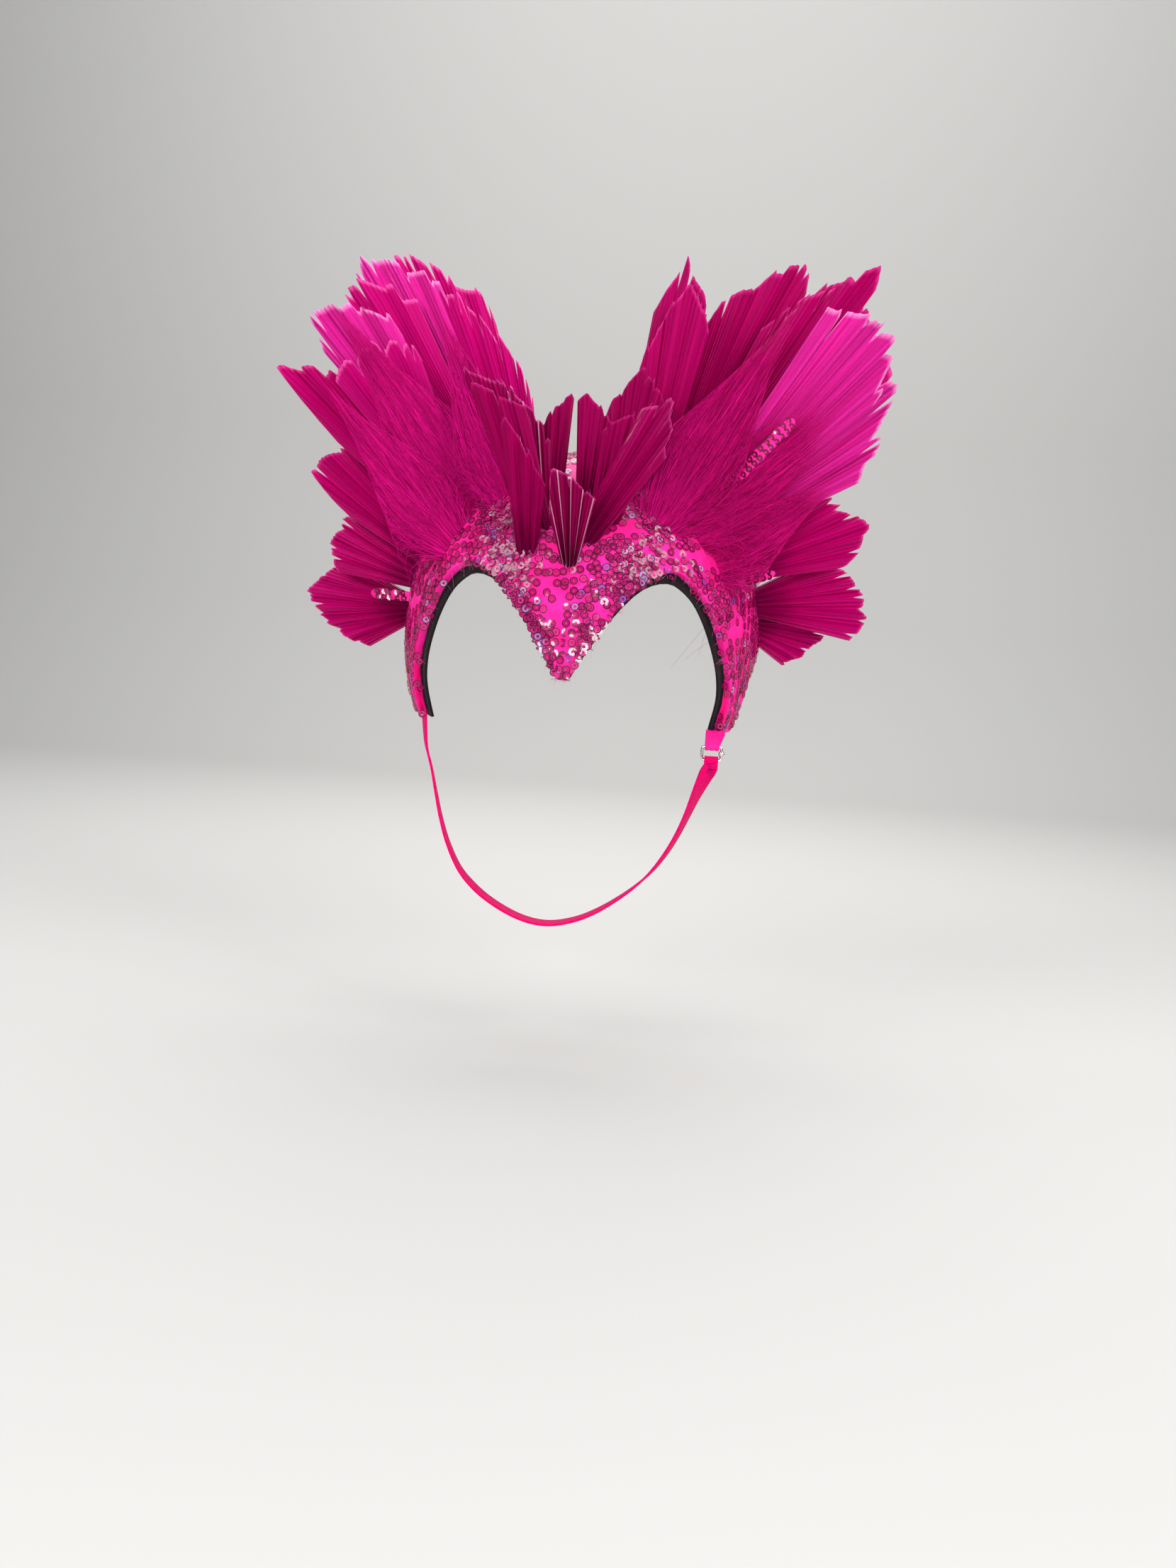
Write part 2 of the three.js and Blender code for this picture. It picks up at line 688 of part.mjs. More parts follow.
add("cap_shell", capLayer(padInside, padOutside, padEdgeThin, false), sequinCloth);
add("lining", capLayer(0, liningThick, 0, true), blackFelt);
for (const leaf of leaves) add(leaf.name, seated(leaf, leafSheets(leaf)), dyedPalm);
for (const feather of feathers) add(feather.name, seated(feather, featherSheets(feather)), dyedDown);
for (const tab of tabs) add(tab.name, seated(tab, tabSheets(tab)), sequinCloth);
add("chin_strap", flatBand(strapStations(), strapThick), elastic);
add("band_loop", bandLoop(), sequinCloth);
add("strap_hook", hookGeometry(), silverWire);

export default headpiece;
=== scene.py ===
import math
import random

import bmesh
import bpy
import numpy as np
from mathutils import Matrix, Vector, noise


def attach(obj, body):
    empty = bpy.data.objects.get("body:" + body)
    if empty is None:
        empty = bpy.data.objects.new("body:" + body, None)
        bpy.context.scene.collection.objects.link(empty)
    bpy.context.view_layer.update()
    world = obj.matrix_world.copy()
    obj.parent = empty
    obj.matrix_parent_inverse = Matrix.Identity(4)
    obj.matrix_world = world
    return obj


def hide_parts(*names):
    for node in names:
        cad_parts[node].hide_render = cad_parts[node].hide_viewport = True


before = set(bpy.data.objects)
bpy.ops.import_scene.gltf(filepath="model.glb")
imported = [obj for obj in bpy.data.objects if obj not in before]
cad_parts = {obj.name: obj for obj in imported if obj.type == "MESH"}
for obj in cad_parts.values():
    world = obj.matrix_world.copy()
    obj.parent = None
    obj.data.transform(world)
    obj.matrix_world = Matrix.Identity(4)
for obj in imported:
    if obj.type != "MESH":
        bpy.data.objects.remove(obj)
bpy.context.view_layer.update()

# Sequin headpiece: padded cap, felt lining, palm leaves, feathers, cloth tabs and a chin strap.
# Lengths in the dictionaries are millimetres; left and right are as seen from the front.
mm = 0.001
print("frame loaded")

head = {
    "halfWidth": 77,
    "halfDepth": 92,
    "up": 84,
    "down": 75,
    "power": 2.3,
    "widestLevel": -84,
    "faceCentre": -129,
}
search = {"farOut": 300.0, "raySteps": 26, "riseSteps": 24}  # a ray's length, and halvings along it
rises = {"front": (0, 88), "top": (26, 150)}  # degrees up from straight ahead that a search stays between
cap = {
    "inside": 1.5,  # outside the head, where the felt ends
    "outside": 4.9,
    "feltThick": 1.2,
    "feltAndShadeShows": 2.0,  # past the cloth's edge at the sides; this black edge is partly lining and partly painted shade of the gap between cap and head
    "edgeRound": 1.2,
    "feltShowsFrom": 16,  # fan angle where it starts to show
    "feltShowsOver": 12,  # degrees over which it comes out to its full width
    "feltHides": 0.6,  # behind the cloth's edge at the peak
    "feltRound": 0.4,
    "feltColumns": 90,
    "feltRows": 50,
    "columns": 150,
    "rows": 84,
    "seamDepth": 0.5,
    "seamWide": 0.9,  # degrees of fan
    "seamReach": 0.42,  # share of the way from the rim to the back
    "pucker": 0.45,
    "gather": 0.45,
    "rimRoll": 0.5,
    "rimRollAt": 0.035,
    "rimRollWide": 0.02,
}
capEdges = [  # fan: degrees from straight up, rim: front edge from the face centre, back: rear edge's Y
    {"fan": 0, "rim": 34, "back": 40},
    {"fan": 5, "rim": 35, "back": 40},
    {"fan": 9, "rim": 42, "back": 40},
    {"fan": 12.5, "rim": 49, "back": 39},
    {"fan": 16, "rim": 59, "back": 38},
    {"fan": 19, "rim": 69, "back": 37},
    {"fan": 22, "rim": 79, "back": 36},
    {"fan": 25, "rim": 85.5, "back": 34},
    {"fan": 28.5, "rim": 90, "back": 31},
    {"fan": 32.5, "rim": 90.5, "back": 27},
    {"fan": 37, "rim": 89.5, "back": 20},
    {"fan": 43, "rim": 86.5, "back": 9},
    {"fan": 50, "rim": 82.8, "back": -5},
    {"fan": 58, "rim": 79, "back": -22},
    {"fan": 62, "rim": 77, "back": -33},
    {"fan": 66, "rim": 74.8, "back": -41},
    {"fan": 74, "rim": 69.5, "back": -45},
    {"fan": 79, "rim": 67, "back": -47},
]


def formValue(point, grow):  # 0 on the head form grown outwards by grow, less inside it
    rise = point[2] - head["widestLevel"]
    vertical = (head["up"] if rise > 0 else head["down"]) + grow
    power = head["power"]
    return (
        abs(point[0] / (head["halfWidth"] + grow)) ** power
        + abs(point[1] / (head["halfDepth"] + grow)) ** power
        + abs(rise / vertical) ** power
        - 1
    )


def formAt(fan, rise, grow):  # where a ray from the face centre meets the grown form
    turn, tilt = math.radians(fan), math.radians(rise)
    way = (math.sin(tilt) * math.sin(turn), -math.cos(tilt), math.sin(tilt) * math.cos(turn))
    near, far = 0.0, search["farOut"]
    for _ in range(search["raySteps"]):
        reach = (near + far) / 2
        if formValue((way[0] * reach, way[1] * reach, head["faceCentre"] + way[2] * reach), grow) < 0:
            near = reach
        else:
            far = reach
    return Vector((way[0] * near, way[1] * near, head["faceCentre"] + way[2] * near))


def formNormal(point):
    def slope(value, half):
        return math.copysign(abs(value / half) ** (head["power"] - 1), value) / half

    rise = point[2] - head["widestLevel"]
    return Vector((
        slope(point[0], head["halfWidth"]),
        slope(point[1], head["halfDepth"]),
        slope(rise, head["up"] if rise > 0 else head["down"]),
    )).normalized()


def riseWhere(fan, measure, wanted, between):  # the rise at which the cap's surface has a wanted measure
    low, high = between
    for _ in range(search["riseSteps"]):
        rise = (low + high) / 2
        if measure(formAt(fan, rise, cap["outside"])) < wanted:
            low = rise
        else:
            high = rise
    return (low + high) / 2


def reachOf(point):
    return math.hypot(point[0], point[2] - head["faceCentre"])


def depthOf(point):
    return point[1]


def edgeAt(fan, side):  # the rim or back column of the table, smoothed between its rows
    fans = [row["fan"] for row in capEdges]
    values = [row[side] for row in capEdges]
    wanted = min(abs(fan), fans[-1])
    i = max(k for k in range(len(fans) - 1) if fans[k] <= wanted)

    def slope(k):
        if k == 0:
            return 0
        low, high = max(k - 1, 0), min(k + 1, len(fans) - 1)
        return (values[high] - values[low]) / (fans[high] - fans[low])

    span = fans[i + 1] - fans[i]
    t = (wanted - fans[i]) / span
    return (
        (2 * t**3 - 3 * t**2 + 1) * values[i]
        + (t**3 - 2 * t**2 + t) * span * slope(i)
        + (3 * t**2 - 2 * t**3) * values[i + 1]
        + (t**3 - t**2) * span * slope(i + 1)
    )


def rowsOf(table, columns):  # each row of a table as a dictionary with its name
    return [{"name": name, **dict(zip(columns, row))} for name, row in table.items()]


def smoothStep(value, low, high):
    t = min(1.0, max(0.0, (value - low) / (high - low)))
    return t * t * (3 - 2 * t)


# Shader groups that several finishes share
def newGroup(name, inputs, outputs):
    group = bpy.data.node_groups.new(name, "ShaderNodeTree")
    for label, kind, value in inputs:
        socket = group.interface.new_socket(name=label, in_out="INPUT", socket_type=kind)
        if value is not None:
            socket.default_value = value
    for label, kind in outputs:
        group.interface.new_socket(name=label, in_out="OUTPUT", socket_type=kind)
    return group, group.nodes.new("NodeGroupInput"), group.nodes.new("NodeGroupOutput")


def mathNode(tree, operation, a, b=None):
    node = tree.nodes.new("ShaderNodeMath")
    node.operation = operation
    for socket, value in zip(node.inputs, (a, b)):
        if value is None:
            continue
        if isinstance(value, (int, float)):
            socket.default_value = value
        else:
            tree.links.new(value, socket)
    return node.outputs[0]


def stretchedFibres():  # long thin fibres along V of the piece's UV map
    group, given, made = newGroup(
        "stretchedFibres",
        [("Across", "NodeSocketFloat", 60.0), ("Along", "NodeSocketFloat", 2.0)],
        [("Streak", "NodeSocketFloat"), ("Fine", "NodeSocketFloat")],
    )
    uv = group.nodes.new("ShaderNodeUVMap")
    uv.uv_map = "UVMap"
    parts = group.nodes.new("ShaderNodeSeparateXYZ")
    group.links.new(uv.outputs[0], parts.inputs[0])
    for label, more in (("Streak", 1.0), ("Fine", 3.3)):
        across = mathNode(group, "MULTIPLY", given.outputs["Across"], more)
        u = mathNode(group, "MULTIPLY", parts.outputs[0], across)
        v = mathNode(group, "MULTIPLY", parts.outputs[1], given.outputs["Along"])
        joined = group.nodes.new("ShaderNodeCombineXYZ")
        group.links.new(u, joined.inputs[0])
        group.links.new(v, joined.inputs[1])
        field = group.nodes.new("ShaderNodeTexNoise")
        field.inputs["Scale"].default_value = 1.0
        field.inputs["Detail"].default_value = 3.0
        group.links.new(joined.outputs[0], field.inputs["Vector"])
        group.links.new(field.outputs["Fac"], made.inputs[label])
    return group


def knitWeave():  # fine crossing ribs in Object coordinates, for stretch cloth and felt
    group, given, made = newGroup(
        "knitWeave",
        [("Scale", "NodeSocketFloat", 1500.0)],
        [("Height", "NodeSocketFloat"), ("Cloud", "NodeSocketFloat")],
    )
    place = group.nodes.new("ShaderNodeTexCoord")
    weave = group.nodes.new("ShaderNodeTexVoronoi")
    group.links.new(place.outputs["Object"], weave.inputs["Vector"])
    group.links.new(given.outputs["Scale"], weave.inputs["Scale"])
    cloud = group.nodes.new("ShaderNodeTexNoise")
    cloud.inputs["Scale"].default_value = 70.0
    cloud.inputs["Detail"].default_value = 4.0
    group.links.new(place.outputs["Object"], cloud.inputs["Vector"])
    group.links.new(weave.outputs["Distance"], made.inputs["Height"])
    group.links.new(cloud.outputs["Fac"], made.inputs["Cloud"])
    return group


fibres = stretchedFibres()
weave = knitWeave()
white = (1, 1, 1)


def newFinish(
    name,
    roughness,
    metallic=0.0,
    sheen=0.0,
    sheenTint=white,
    coat=0.0,
    coatRough=0.1,
    specular=0.5,
    glint=white,
):
    material = bpy.data.materials.new(name)
    material.use_nodes = True
    shader = material.node_tree.nodes["Principled BSDF"]
    shader.inputs["Roughness"].default_value = roughness
    shader.inputs["Metallic"].default_value = metallic
    shader.inputs["Sheen Weight"].default_value = sheen
    shader.inputs["Sheen Tint"].default_value = (*sheenTint, 1)
    shader.inputs["Coat Weight"].default_value = coat
    shader.inputs["Coat Roughness"].default_value = coatRough
    shader.inputs["Specular IOR Level"].default_value = specular
    shader.inputs["Specular Tint"].default_value = (*glint, 1)
    return material, material.node_tree, shader


def placeGroup(tree, group, **values):
    node = tree.nodes.new("ShaderNodeGroup")
    node.node_tree = group
    for name, value in values.items():
        node.inputs[name].default_value = value
    return node


def rampInto(tree, source, stops, target):  # a colour ramp from a value to a socket
    ramp = tree.nodes.new("ShaderNodeValToRGB")
    while len(ramp.color_ramp.elements) < len(stops):
        ramp.color_ramp.elements.new(0.5)
    for element, (place, colour) in zip(ramp.color_ramp.elements, stops):
        element.position = place
        element.color = (*colour, 1)
    tree.links.new(source, ramp.inputs[0])
    if target is not None:
        tree.links.new(ramp.outputs[0], target)
    return ramp.outputs[0]


def bumpInto(tree, source, shader, strength, distance):
    bump = tree.nodes.new("ShaderNodeBump")
    bump.inputs["Strength"].default_value = strength
    bump.inputs["Distance"].default_value = distance
    tree.links.new(source, bump.inputs["Height"])
    tree.links.new(bump.outputs[0], shader.inputs["Normal"])


def blendColours(tree, share, first, second, kind="MIX"):
    node = tree.nodes.new("ShaderNodeMix")
    node.data_type = "RGBA"
    node.blend_type = kind
    for socket, value in ((node.inputs[0], share), (node.inputs[6], first), (node.inputs[7], second)):
        if isinstance(value, tuple):
            socket.default_value = (*value, 1)
        elif isinstance(value, (int, float)):
            socket.default_value = value
        else:
            tree.links.new(value, socket)
    return node.outputs[2]


def stretchSatin(name, deep, bright):  # the cap's shiny stretch cloth
    material, tree, shader = newFinish(name, 0.5, specular=0.25, glint=(1.0, 0.3, 0.7))
    knit = placeGroup(tree, weave, Scale=1700.0)
    rampInto(tree, knit.outputs["Cloud"], [(0.3, deep), (0.62, bright)], shader.inputs["Base Color"])
    bumpInto(tree, knit.outputs["Height"], shader, 0.35, 0.0002)
    return material


def mattFelt():
    bloom = (0.4, 0.35, 0.38)
    material, tree, shader = newFinish("mattFelt", 0.95, sheen=0.2, sheenTint=bloom, specular=0.2)
    knit = placeGroup(tree, weave, Scale=900.0)
    shades = [(0.3, (0.004, 0.003, 0.004)), (0.7, (0.014, 0.010, 0.012))]
    rampInto(tree, knit.outputs["Cloud"], shades, shader.inputs["Base Color"])
    bumpInto(tree, knit.outputs["Height"], shader, 0.5, 0.0004)
    return material


pinkGlint = (1.0, 0.02, 0.45)


# Palm leaf finish: the dye along the leaf, with painted shade darkening the foot, random fibre streaks, and
# painted highlights on rib crests when asked for
def palmDyeAndPaintedLight(name, foot, middle, tip, roughness=0.45, metallic=0.0, coat=0.0, glint=pinkGlint, ribGlint=0.0):
    material, tree, shader = newFinish(
        name, roughness, metallic=metallic, coat=coat, coatRough=0.12, specular=0.35, glint=glint
    )
    strands = placeGroup(tree, fibres, Across=46.0, Along=1.6)
    uv = tree.nodes.new("ShaderNodeUVMap")
    uv.uv_map = "UVMap"
    parts = tree.nodes.new("ShaderNodeSeparateXYZ")
    tree.links.new(uv.outputs[0], parts.inputs[0])
    # painted shade: each leaf is darker towards its foot, where it sits in among the others; the last stop
    # is its paler frayed tip
    shadedFootToTip = [(0.08, foot), (0.5, middle), (0.975, middle), (0.995, tip)]
    along = rampInto(tree, parts.outputs[1], shadedFootToTip, None)
    shades = [(0.28, (0.62, 0.55, 0.6)), (0.5, (0.98, 0.98, 0.98)), (0.74, (1.22, 1.3, 1.3))]
    streak = rampInto(tree, strands.outputs["Streak"], shades, None)
    colour = blendColours(tree, 1.0, along, streak, "MULTIPLY")
    if ribGlint:  # painted highlight: pale glints painted along the crests of the ribs
        crest = tree.nodes.new("ShaderNodeAttribute")
        crest.attribute_name = "crest"
        line = mathNode(tree, "POWER", crest.outputs["Fac"], 5.0)
        colour = blendColours(tree, mathNode(tree, "MULTIPLY", line, ribGlint), colour, (1.0, 0.6, 0.8))
    tree.links.new(colour, shader.inputs["Base Color"])
    dull = mathNode(tree, "MULTIPLY", strands.outputs["Fine"], 0.3)
    tree.links.new(mathNode(tree, "ADD", dull, roughness - 0.15), shader.inputs["Roughness"])
    both = mathNode(tree, "ADD", strands.outputs["Streak"], strands.outputs["Fine"])
    bumpInto(tree, both, shader, 0.5, 0.0005)
    return material


def dyedDown():
    material, tree, shader = newFinish("dyedDown", 0.85, specular=0.0)
    strands = placeGroup(tree, fibres, Across=70.0, Along=1.3)
    shades = [(0.3, (0.36, 0.0, 0.085)), (0.5, (0.48, 0.0, 0.125)), (0.72, (0.62, 0.001, 0.17))]
    rampInto(tree, strands.outputs["Streak"], shades, shader.inputs["Base Color"])
    bumpInto(tree, strands.outputs["Fine"], shader, 0.6, 0.0006)
    return material


def looseFibre(name, deep, bright, specular=0.3):  # down, whiskers and threads
    material, tree, shader = newFinish(name, 0.6, specular=specular, glint=(1.0, 0.3, 0.6))
    tint = tree.nodes.new("ShaderNodeAttribute")
    tint.attribute_name = "tint"
    rampInto(tree, tint.outputs["Fac"], [(0.0, deep), (1.0, bright)], shader.inputs["Base Color"])
    return material


def sequinFilm():  # clear pink film: painted shade darkens its rim and hole edges, some of it violet, some nearly white
    material, tree, shader = newFinish("sequinFilm", 0.2, coat=0.6, coatRough=0.04, specular=0.3)
    shader.inputs["Coat IOR"].default_value = 1.7
    tint = tree.nodes.new("ShaderNodeAttribute")
    tint.attribute_name = "tint"
    ringShare = tree.nodes.new("ShaderNodeAttribute")
    ringShare.attribute_name = "ringShare"
    body = rampInto(
        tree,
        tint.outputs["Fac"],
        [
            (0.0, (0.38, 0.002, 0.11)),
            (0.4, (0.72, 0.012, 0.24)),
            (0.8, (0.95, 0.07, 0.42)),
            (0.88, (0.45, 0.10, 0.62)),
            (1.0, (0.95, 0.62, 0.82)),
        ],
        None,
    )
    # painted shade: the film darkens at the hole and at the outer rim
    edge = rampInto(
        tree,
        ringShare.outputs["Fac"],
        [(0.0, (0.18, 0.1, 0.2)), (0.16, white), (0.62, white), (0.8, (0.16, 0.08, 0.18))],
        None,
    )
    tree.links.new(blendColours(tree, 1.0, body, edge, "MULTIPLY"), shader.inputs["Base Color"])
    return material


def neonElastic():
    material, tree, shader = newFinish("neonElastic", 0.6, specular=0.1, glint=(1.0, 0.3, 0.6))
    ribs = placeGroup(tree, fibres, Across=26.0, Along=140.0)
    shades = [(0.3, (0.58, 0.0, 0.10)), (0.7, (0.84, 0.001, 0.15))]
    rampInto(tree, ribs.outputs["Streak"], shades, shader.inputs["Base Color"])
    bumpInto(tree, ribs.outputs["Fine"], shader, 0.5, 0.0003)
    return material


def brightWire():
    material, tree, shader = newFinish("brightWire", 0.18, metallic=1.0)
    knit = placeGroup(tree, weave, Scale=600.0)
    shades = [(0.35, (0.55, 0.55, 0.57)), (0.65, (0.86, 0.86, 0.88))]
    rampInto(tree, knit.outputs["Cloud"], shades, shader.inputs["Base Color"])
    bumpInto(tree, knit.outputs["Height"], shader, 0.08, 0.0001)
    return material


satin = stretchSatin("stretchSatin", (0.76, 0.005, 0.19), (0.98, 0.022, 0.34))
felt = mattFelt()
# Colour sets for the leaves, each darker at the foot as painted shade; the satin set is lighter all over as
# painted sheen
palms = {
    "dark": palmDyeAndPaintedLight("palmDark", (0.05, 0.0, 0.012), (0.27, 0.0, 0.06), (0.42, 0.01, 0.13)),
    # leaves with painted highlights along their rib crests
    "waxed": palmDyeAndPaintedLight(
        "palmPaintedGlints", (0.07, 0.0, 0.016), (0.24, 0.0, 0.055), (0.5, 0.03, 0.2), 0.3, coat=0.1, ribGlint=0.8
    ),
    "glossy": palmDyeAndPaintedLight(
        "palmGlossy", (0.07, 0.0, 0.016), (0.31, 0.0, 0.075), (0.5, 0.03, 0.2), 0.3, coat=0.1
    ),
    "deep": palmDyeAndPaintedLight("palmDeep", (0.10, 0.0, 0.022), (0.36, 0.0, 0.088), (0.56, 0.02, 0.2)),
    "mid": palmDyeAndPaintedLight("palmMid", (0.15, 0.0, 0.035), (0.50, 0.001, 0.15), (0.78, 0.08, 0.36)),
    "side": palmDyeAndPaintedLight("palmSide", (0.09, 0.0, 0.022), (0.42, 0.0, 0.11), (0.6, 0.03, 0.22)),
    # painted sheen: a lighter copy of the leaf colour for the wing leaves that catch the light, on a partly
    # metallic finish
    "satin": palmDyeAndPaintedLight(
        "palmSatinPaintedSheen",
        (0.28, 0.0, 0.09),
        (0.66, 0.015, 0.29),
        (0.9, 0.25, 0.58),
        0.34,
        metallic=0.4,
        glint=(1.0, 0.4, 0.85),
    ),
}
down = dyedDown()
barb = looseFibre("dyedBarb", (0.28, 0.0, 0.06), (0.82, 0.006, 0.27), specular=0.1)
fibre = looseFibre("paleFibre", (0.62, 0.06, 0.30), (0.9, 0.4, 0.62))
sewing = looseFibre("sewingThread", (0.08, 0.0, 0.02), (0.18, 0.002, 0.05))
film = sequinFilm()
elastic = neonElastic()
wire = brightWire()
print("finishes made")


# Building blocks
def asPiece(name, bm, material, stands, smooth=True):
    mesh = bpy.data.meshes.new(name)
    bm.to_mesh(mesh)
    bm.free()
    piece = bpy.data.objects.new(name, mesh)
    bpy.context.collection.objects.link(piece)
    mesh.materials.append(material)
    if smooth:
        mesh.shade_smooth()
    else:
        mesh.shade_flat()
    return rideRoot(piece, stands)


def rideRoot(piece, stands):
    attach(piece, "root")
    if stands:
        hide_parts(stands)
    return piece


def mappedGrid(columns, rows, place):  # place(u, v) gives millimetres, u and v run 0 to 1
    bm = bmesh.new()
    sheetUv = bm.loops.layers.uv.new("UVMap")
    bmesh.ops.create_grid(bm, x_segments=columns, y_segments=rows, size=0.5)
    for face in bm.faces:
        for loop in face.loops:
            loop[sheetUv].uv = (loop.vert.co.x + 0.5, loop.vert.co.y + 0.5)
    for vert in bm.verts:
        vert.co = place(vert.co.x + 0.5, vert.co.y + 0.5) * mm
    return bm


def thicken(piece, thickness, offset):
    wall = piece.modifiers.new("wall", "SOLIDIFY")
    wall.thickness = thickness * mm
    wall.offset = offset
    wall.use_even_offset = False


def roundEdges(piece, width, segments, angle=50):
    edge = piece.modifiers.new("edge", "BEVEL")
    edge.width = width * mm
    edge.segments = segments
    edge.limit_method = "ANGLE"
    edge.angle_limit = math.radians(angle)


strand = {"sides": 3, "taper": 0.8}  # a strand thins to a fifth of its thickness at its end


def strandPiece(name, paths, tints, thick, material):  # tapering strands along lists of points in mm
    profile = bpy.data.curves.new(name + "_profile", "CURVE")
    outline = profile.splines.new("POLY")
    outline.points.add(strand["sides"] - 1)
    outline.use_cyclic_u = True
    for k, point in enumerate(outline.points):
        turn = k * 2 * math.pi / strand["sides"]
        point.co = (math.cos(turn) * thick * mm, math.sin(turn) * thick * mm, 0, 1)
    section = bpy.data.objects.new(name + "_profile", profile)
    data = bpy.data.curves.new(name, "CURVE")
    data.dimensions = "3D"
    data.bevel_mode = "OBJECT"
    data.bevel_object = section
    data.use_fill_caps = True
    for path in paths:
        spline = data.splines.new("POLY")
        spline.points.add(len(path) - 1)
        for k, point in enumerate(spline.points):
            point.co = (*(path[k] * mm), 1)
            point.radius = 1.0 - strand["taper"] * k / (len(path) - 1)
    curve = bpy.data.objects.new(name, data)
    bpy.context.collection.objects.link(curve)
    bpy.context.collection.objects.link(section)
    bpy.context.view_layer.update()
    mesh = bpy.data.meshes.new_from_object(curve.evaluated_get(bpy.context.evaluated_depsgraph_get()))
    bpy.data.objects.remove(curve)
    bpy.data.objects.remove(section)
    mesh.name = name
    mesh.materials.clear()
    mesh.materials.append(material)
    mesh.shade_smooth()
    shade = mesh.attributes.new("tint", "FLOAT", "POINT")
    spread = np.repeat(np.array(tints, np.float32), len(mesh.vertices) // len(paths))
    shade.data.foreach_set("value", np.resize(spread, len(mesh.vertices)))
    piece = bpy.data.objects.new(name, mesh)
    bpy.context.collection.objects.link(piece)
    rideRoot(piece, None)


# Camera, floor and light
camera = {"yaw": 4.5, "pitch": 7, "roll": 3.5, "distance": 600, "aside": 5.6, "level": -75, "lens": 28.806}


def standCamera():
    a, p, r = (math.radians(camera[k]) for k in ("yaw", "pitch", "roll"))
    ahead = Vector((-math.sin(a) * math.cos(p), math.cos(a) * math.cos(p), -math.sin(p)))
    flat = Vector((math.cos(a), math.sin(a), 0))
    upright = flat.cross(ahead)
    right = flat * math.cos(r) + upright * math.sin(r)
    above = upright * math.cos(r) - flat * math.sin(r)
    place = Vector((math.sin(a), -math.cos(a), 0)) * camera["distance"] + flat * camera["aside"]
    place.z = camera["level"]
    data = bpy.data.cameras.new("camera")
    data.lens = camera["lens"]
    data.sensor_width = 36
    data.clip_start = 0.01
    holder = bpy.data.objects.new("camera", data)
    bpy.context.collection.objects.link(holder)
    turn = Matrix((right, above, -ahead)).transposed().to_4x4()
    holder.matrix_world = Matrix.Translation(place * mm) @ turn
    bpy.context.scene.camera = holder


studio = {
    "floorLevel": -262,
    "wallAt": 900,
    "bend": 500,
    "wallTop": 2600,
    "halfWidth": 2600,
    "front": -2600,
    "paper": (0.56, 0.555, 0.54, 1),
    "sky": (0.95, 0.96, 1.0, 1),
    "skyPower": 0.3,
}


def standStudio():
    def sweep(u, v):
        x = (u - 0.5) * 2 * studio["halfWidth"]
        run = v * 3
        if run < 1:
            y = studio["front"] + (studio["wallAt"] - studio["front"]) * run
            return Vector((x, y, studio["floorLevel"]))
        if run < 2:
            angle = (run - 1) * math.pi / 2
            y = studio["wallAt"] + studio["bend"] * math.sin(angle)
            return Vector((x, y, studio["floorLevel"] + studio["bend"] * (1 - math.cos(angle))))
        top = studio["floorLevel"] + studio["bend"]
        return Vector((x, studio["wallAt"] + studio["bend"], top + (studio["wallTop"] - top) * (run - 2)))

    bm = mappedGrid(4, 48, sweep)
    mesh = bpy.data.meshes.new("backdrop")
    bm.to_mesh(mesh)
    bm.free()
    mesh.shade_smooth()
    paper, tree, shader = newFinish("paleBackdrop", 0.9, specular=0.2)
    shader.inputs["Base Color"].default_value = studio["paper"]
    mesh.materials.append(paper)
    backdrop = bpy.data.objects.new("backdrop", mesh)
    bpy.context.collection.objects.link(backdrop)


# Lights, by columns: at and aimed in millimetres, size in metres, power in watts, and
# gloss is how much of a light shows in reflections
lightColumns = ("at", "aimed", "size", "power", "gloss")
lights = {
    "leftLight": ((-640, -640, 520), (0, -20, -40), 0.5, 6.0, 0.15),
    "rightLight": ((700, -560, 460), (0, -20, -40), 0.5, 6.7, 0.3),
    "frontLight": ((40, -880, -20), (0, -60, -90), 0.18, 2.8, 1.3),
    "backLight": ((0, 520, 620), (0, 0, 0), 0.7, 4, 0.2),
    "backdropLight": ((0, 300, 1300), (0, 1400, 500), 1.4, 16, 0),
}


def standLights():
    for light in rowsOf(lights, lightColumns):
        data = bpy.data.lights.new(light["name"], "AREA")
        data.size = light["size"]
        data.energy = light["power"]
        data.specular_factor = light["gloss"]
        holder = bpy.data.objects.new(light["name"], data)
        bpy.context.collection.objects.link(holder)
        holder.location = Vector(light["at"]) * mm
        away = Vector(light["at"]) - Vector(light["aimed"])
        holder.rotation_euler = away.to_track_quat("Z", "Y").to_euler()
    world = bpy.data.worlds.new("paleRoom")
    world.use_nodes = True
    sky = world.node_tree.nodes["Background"]
    sky.inputs[0].default_value = studio["sky"]
    sky.inputs[1].default_value = studio["skyPower"]
    bpy.context.scene.world = world
    bpy.context.scene.view_settings.view_transform = "Standard"


standCamera()
standStudio()
standLights()
print("camera, backdrop and lights stand")


# The cap: cloth over a pad, and the felt inside it
edgeRises = {}  # front and back rise of each fan angle, worked out once


def risesAt(fan, beyond):
    key = (round(fan, 3), beyond)
    if key not in edgeRises:
        side = min(1.0, max(0.0, (abs(fan) - cap["feltShowsFrom"]) / cap["feltShowsOver"]))
        show = beyond * side - cap["feltHides"] * (1 - side) if beyond else 0
        edgeRises[key] = (
            riseWhere(fan, reachOf, edgeAt(fan, "rim") - show, rises["front"]),
            riseWhere(fan, depthOf, edgeAt(fan, "back") + min(0, -show), rises["top"]),
        )
    return edgeRises[key]


def capPoint(u, v, grow, beyond=0):
    fan = (2 * u - 1) * capEdges[-1]["fan"]
    front, back = risesAt(fan, beyond)
    return formAt(fan, front + (back - front) * v, grow)


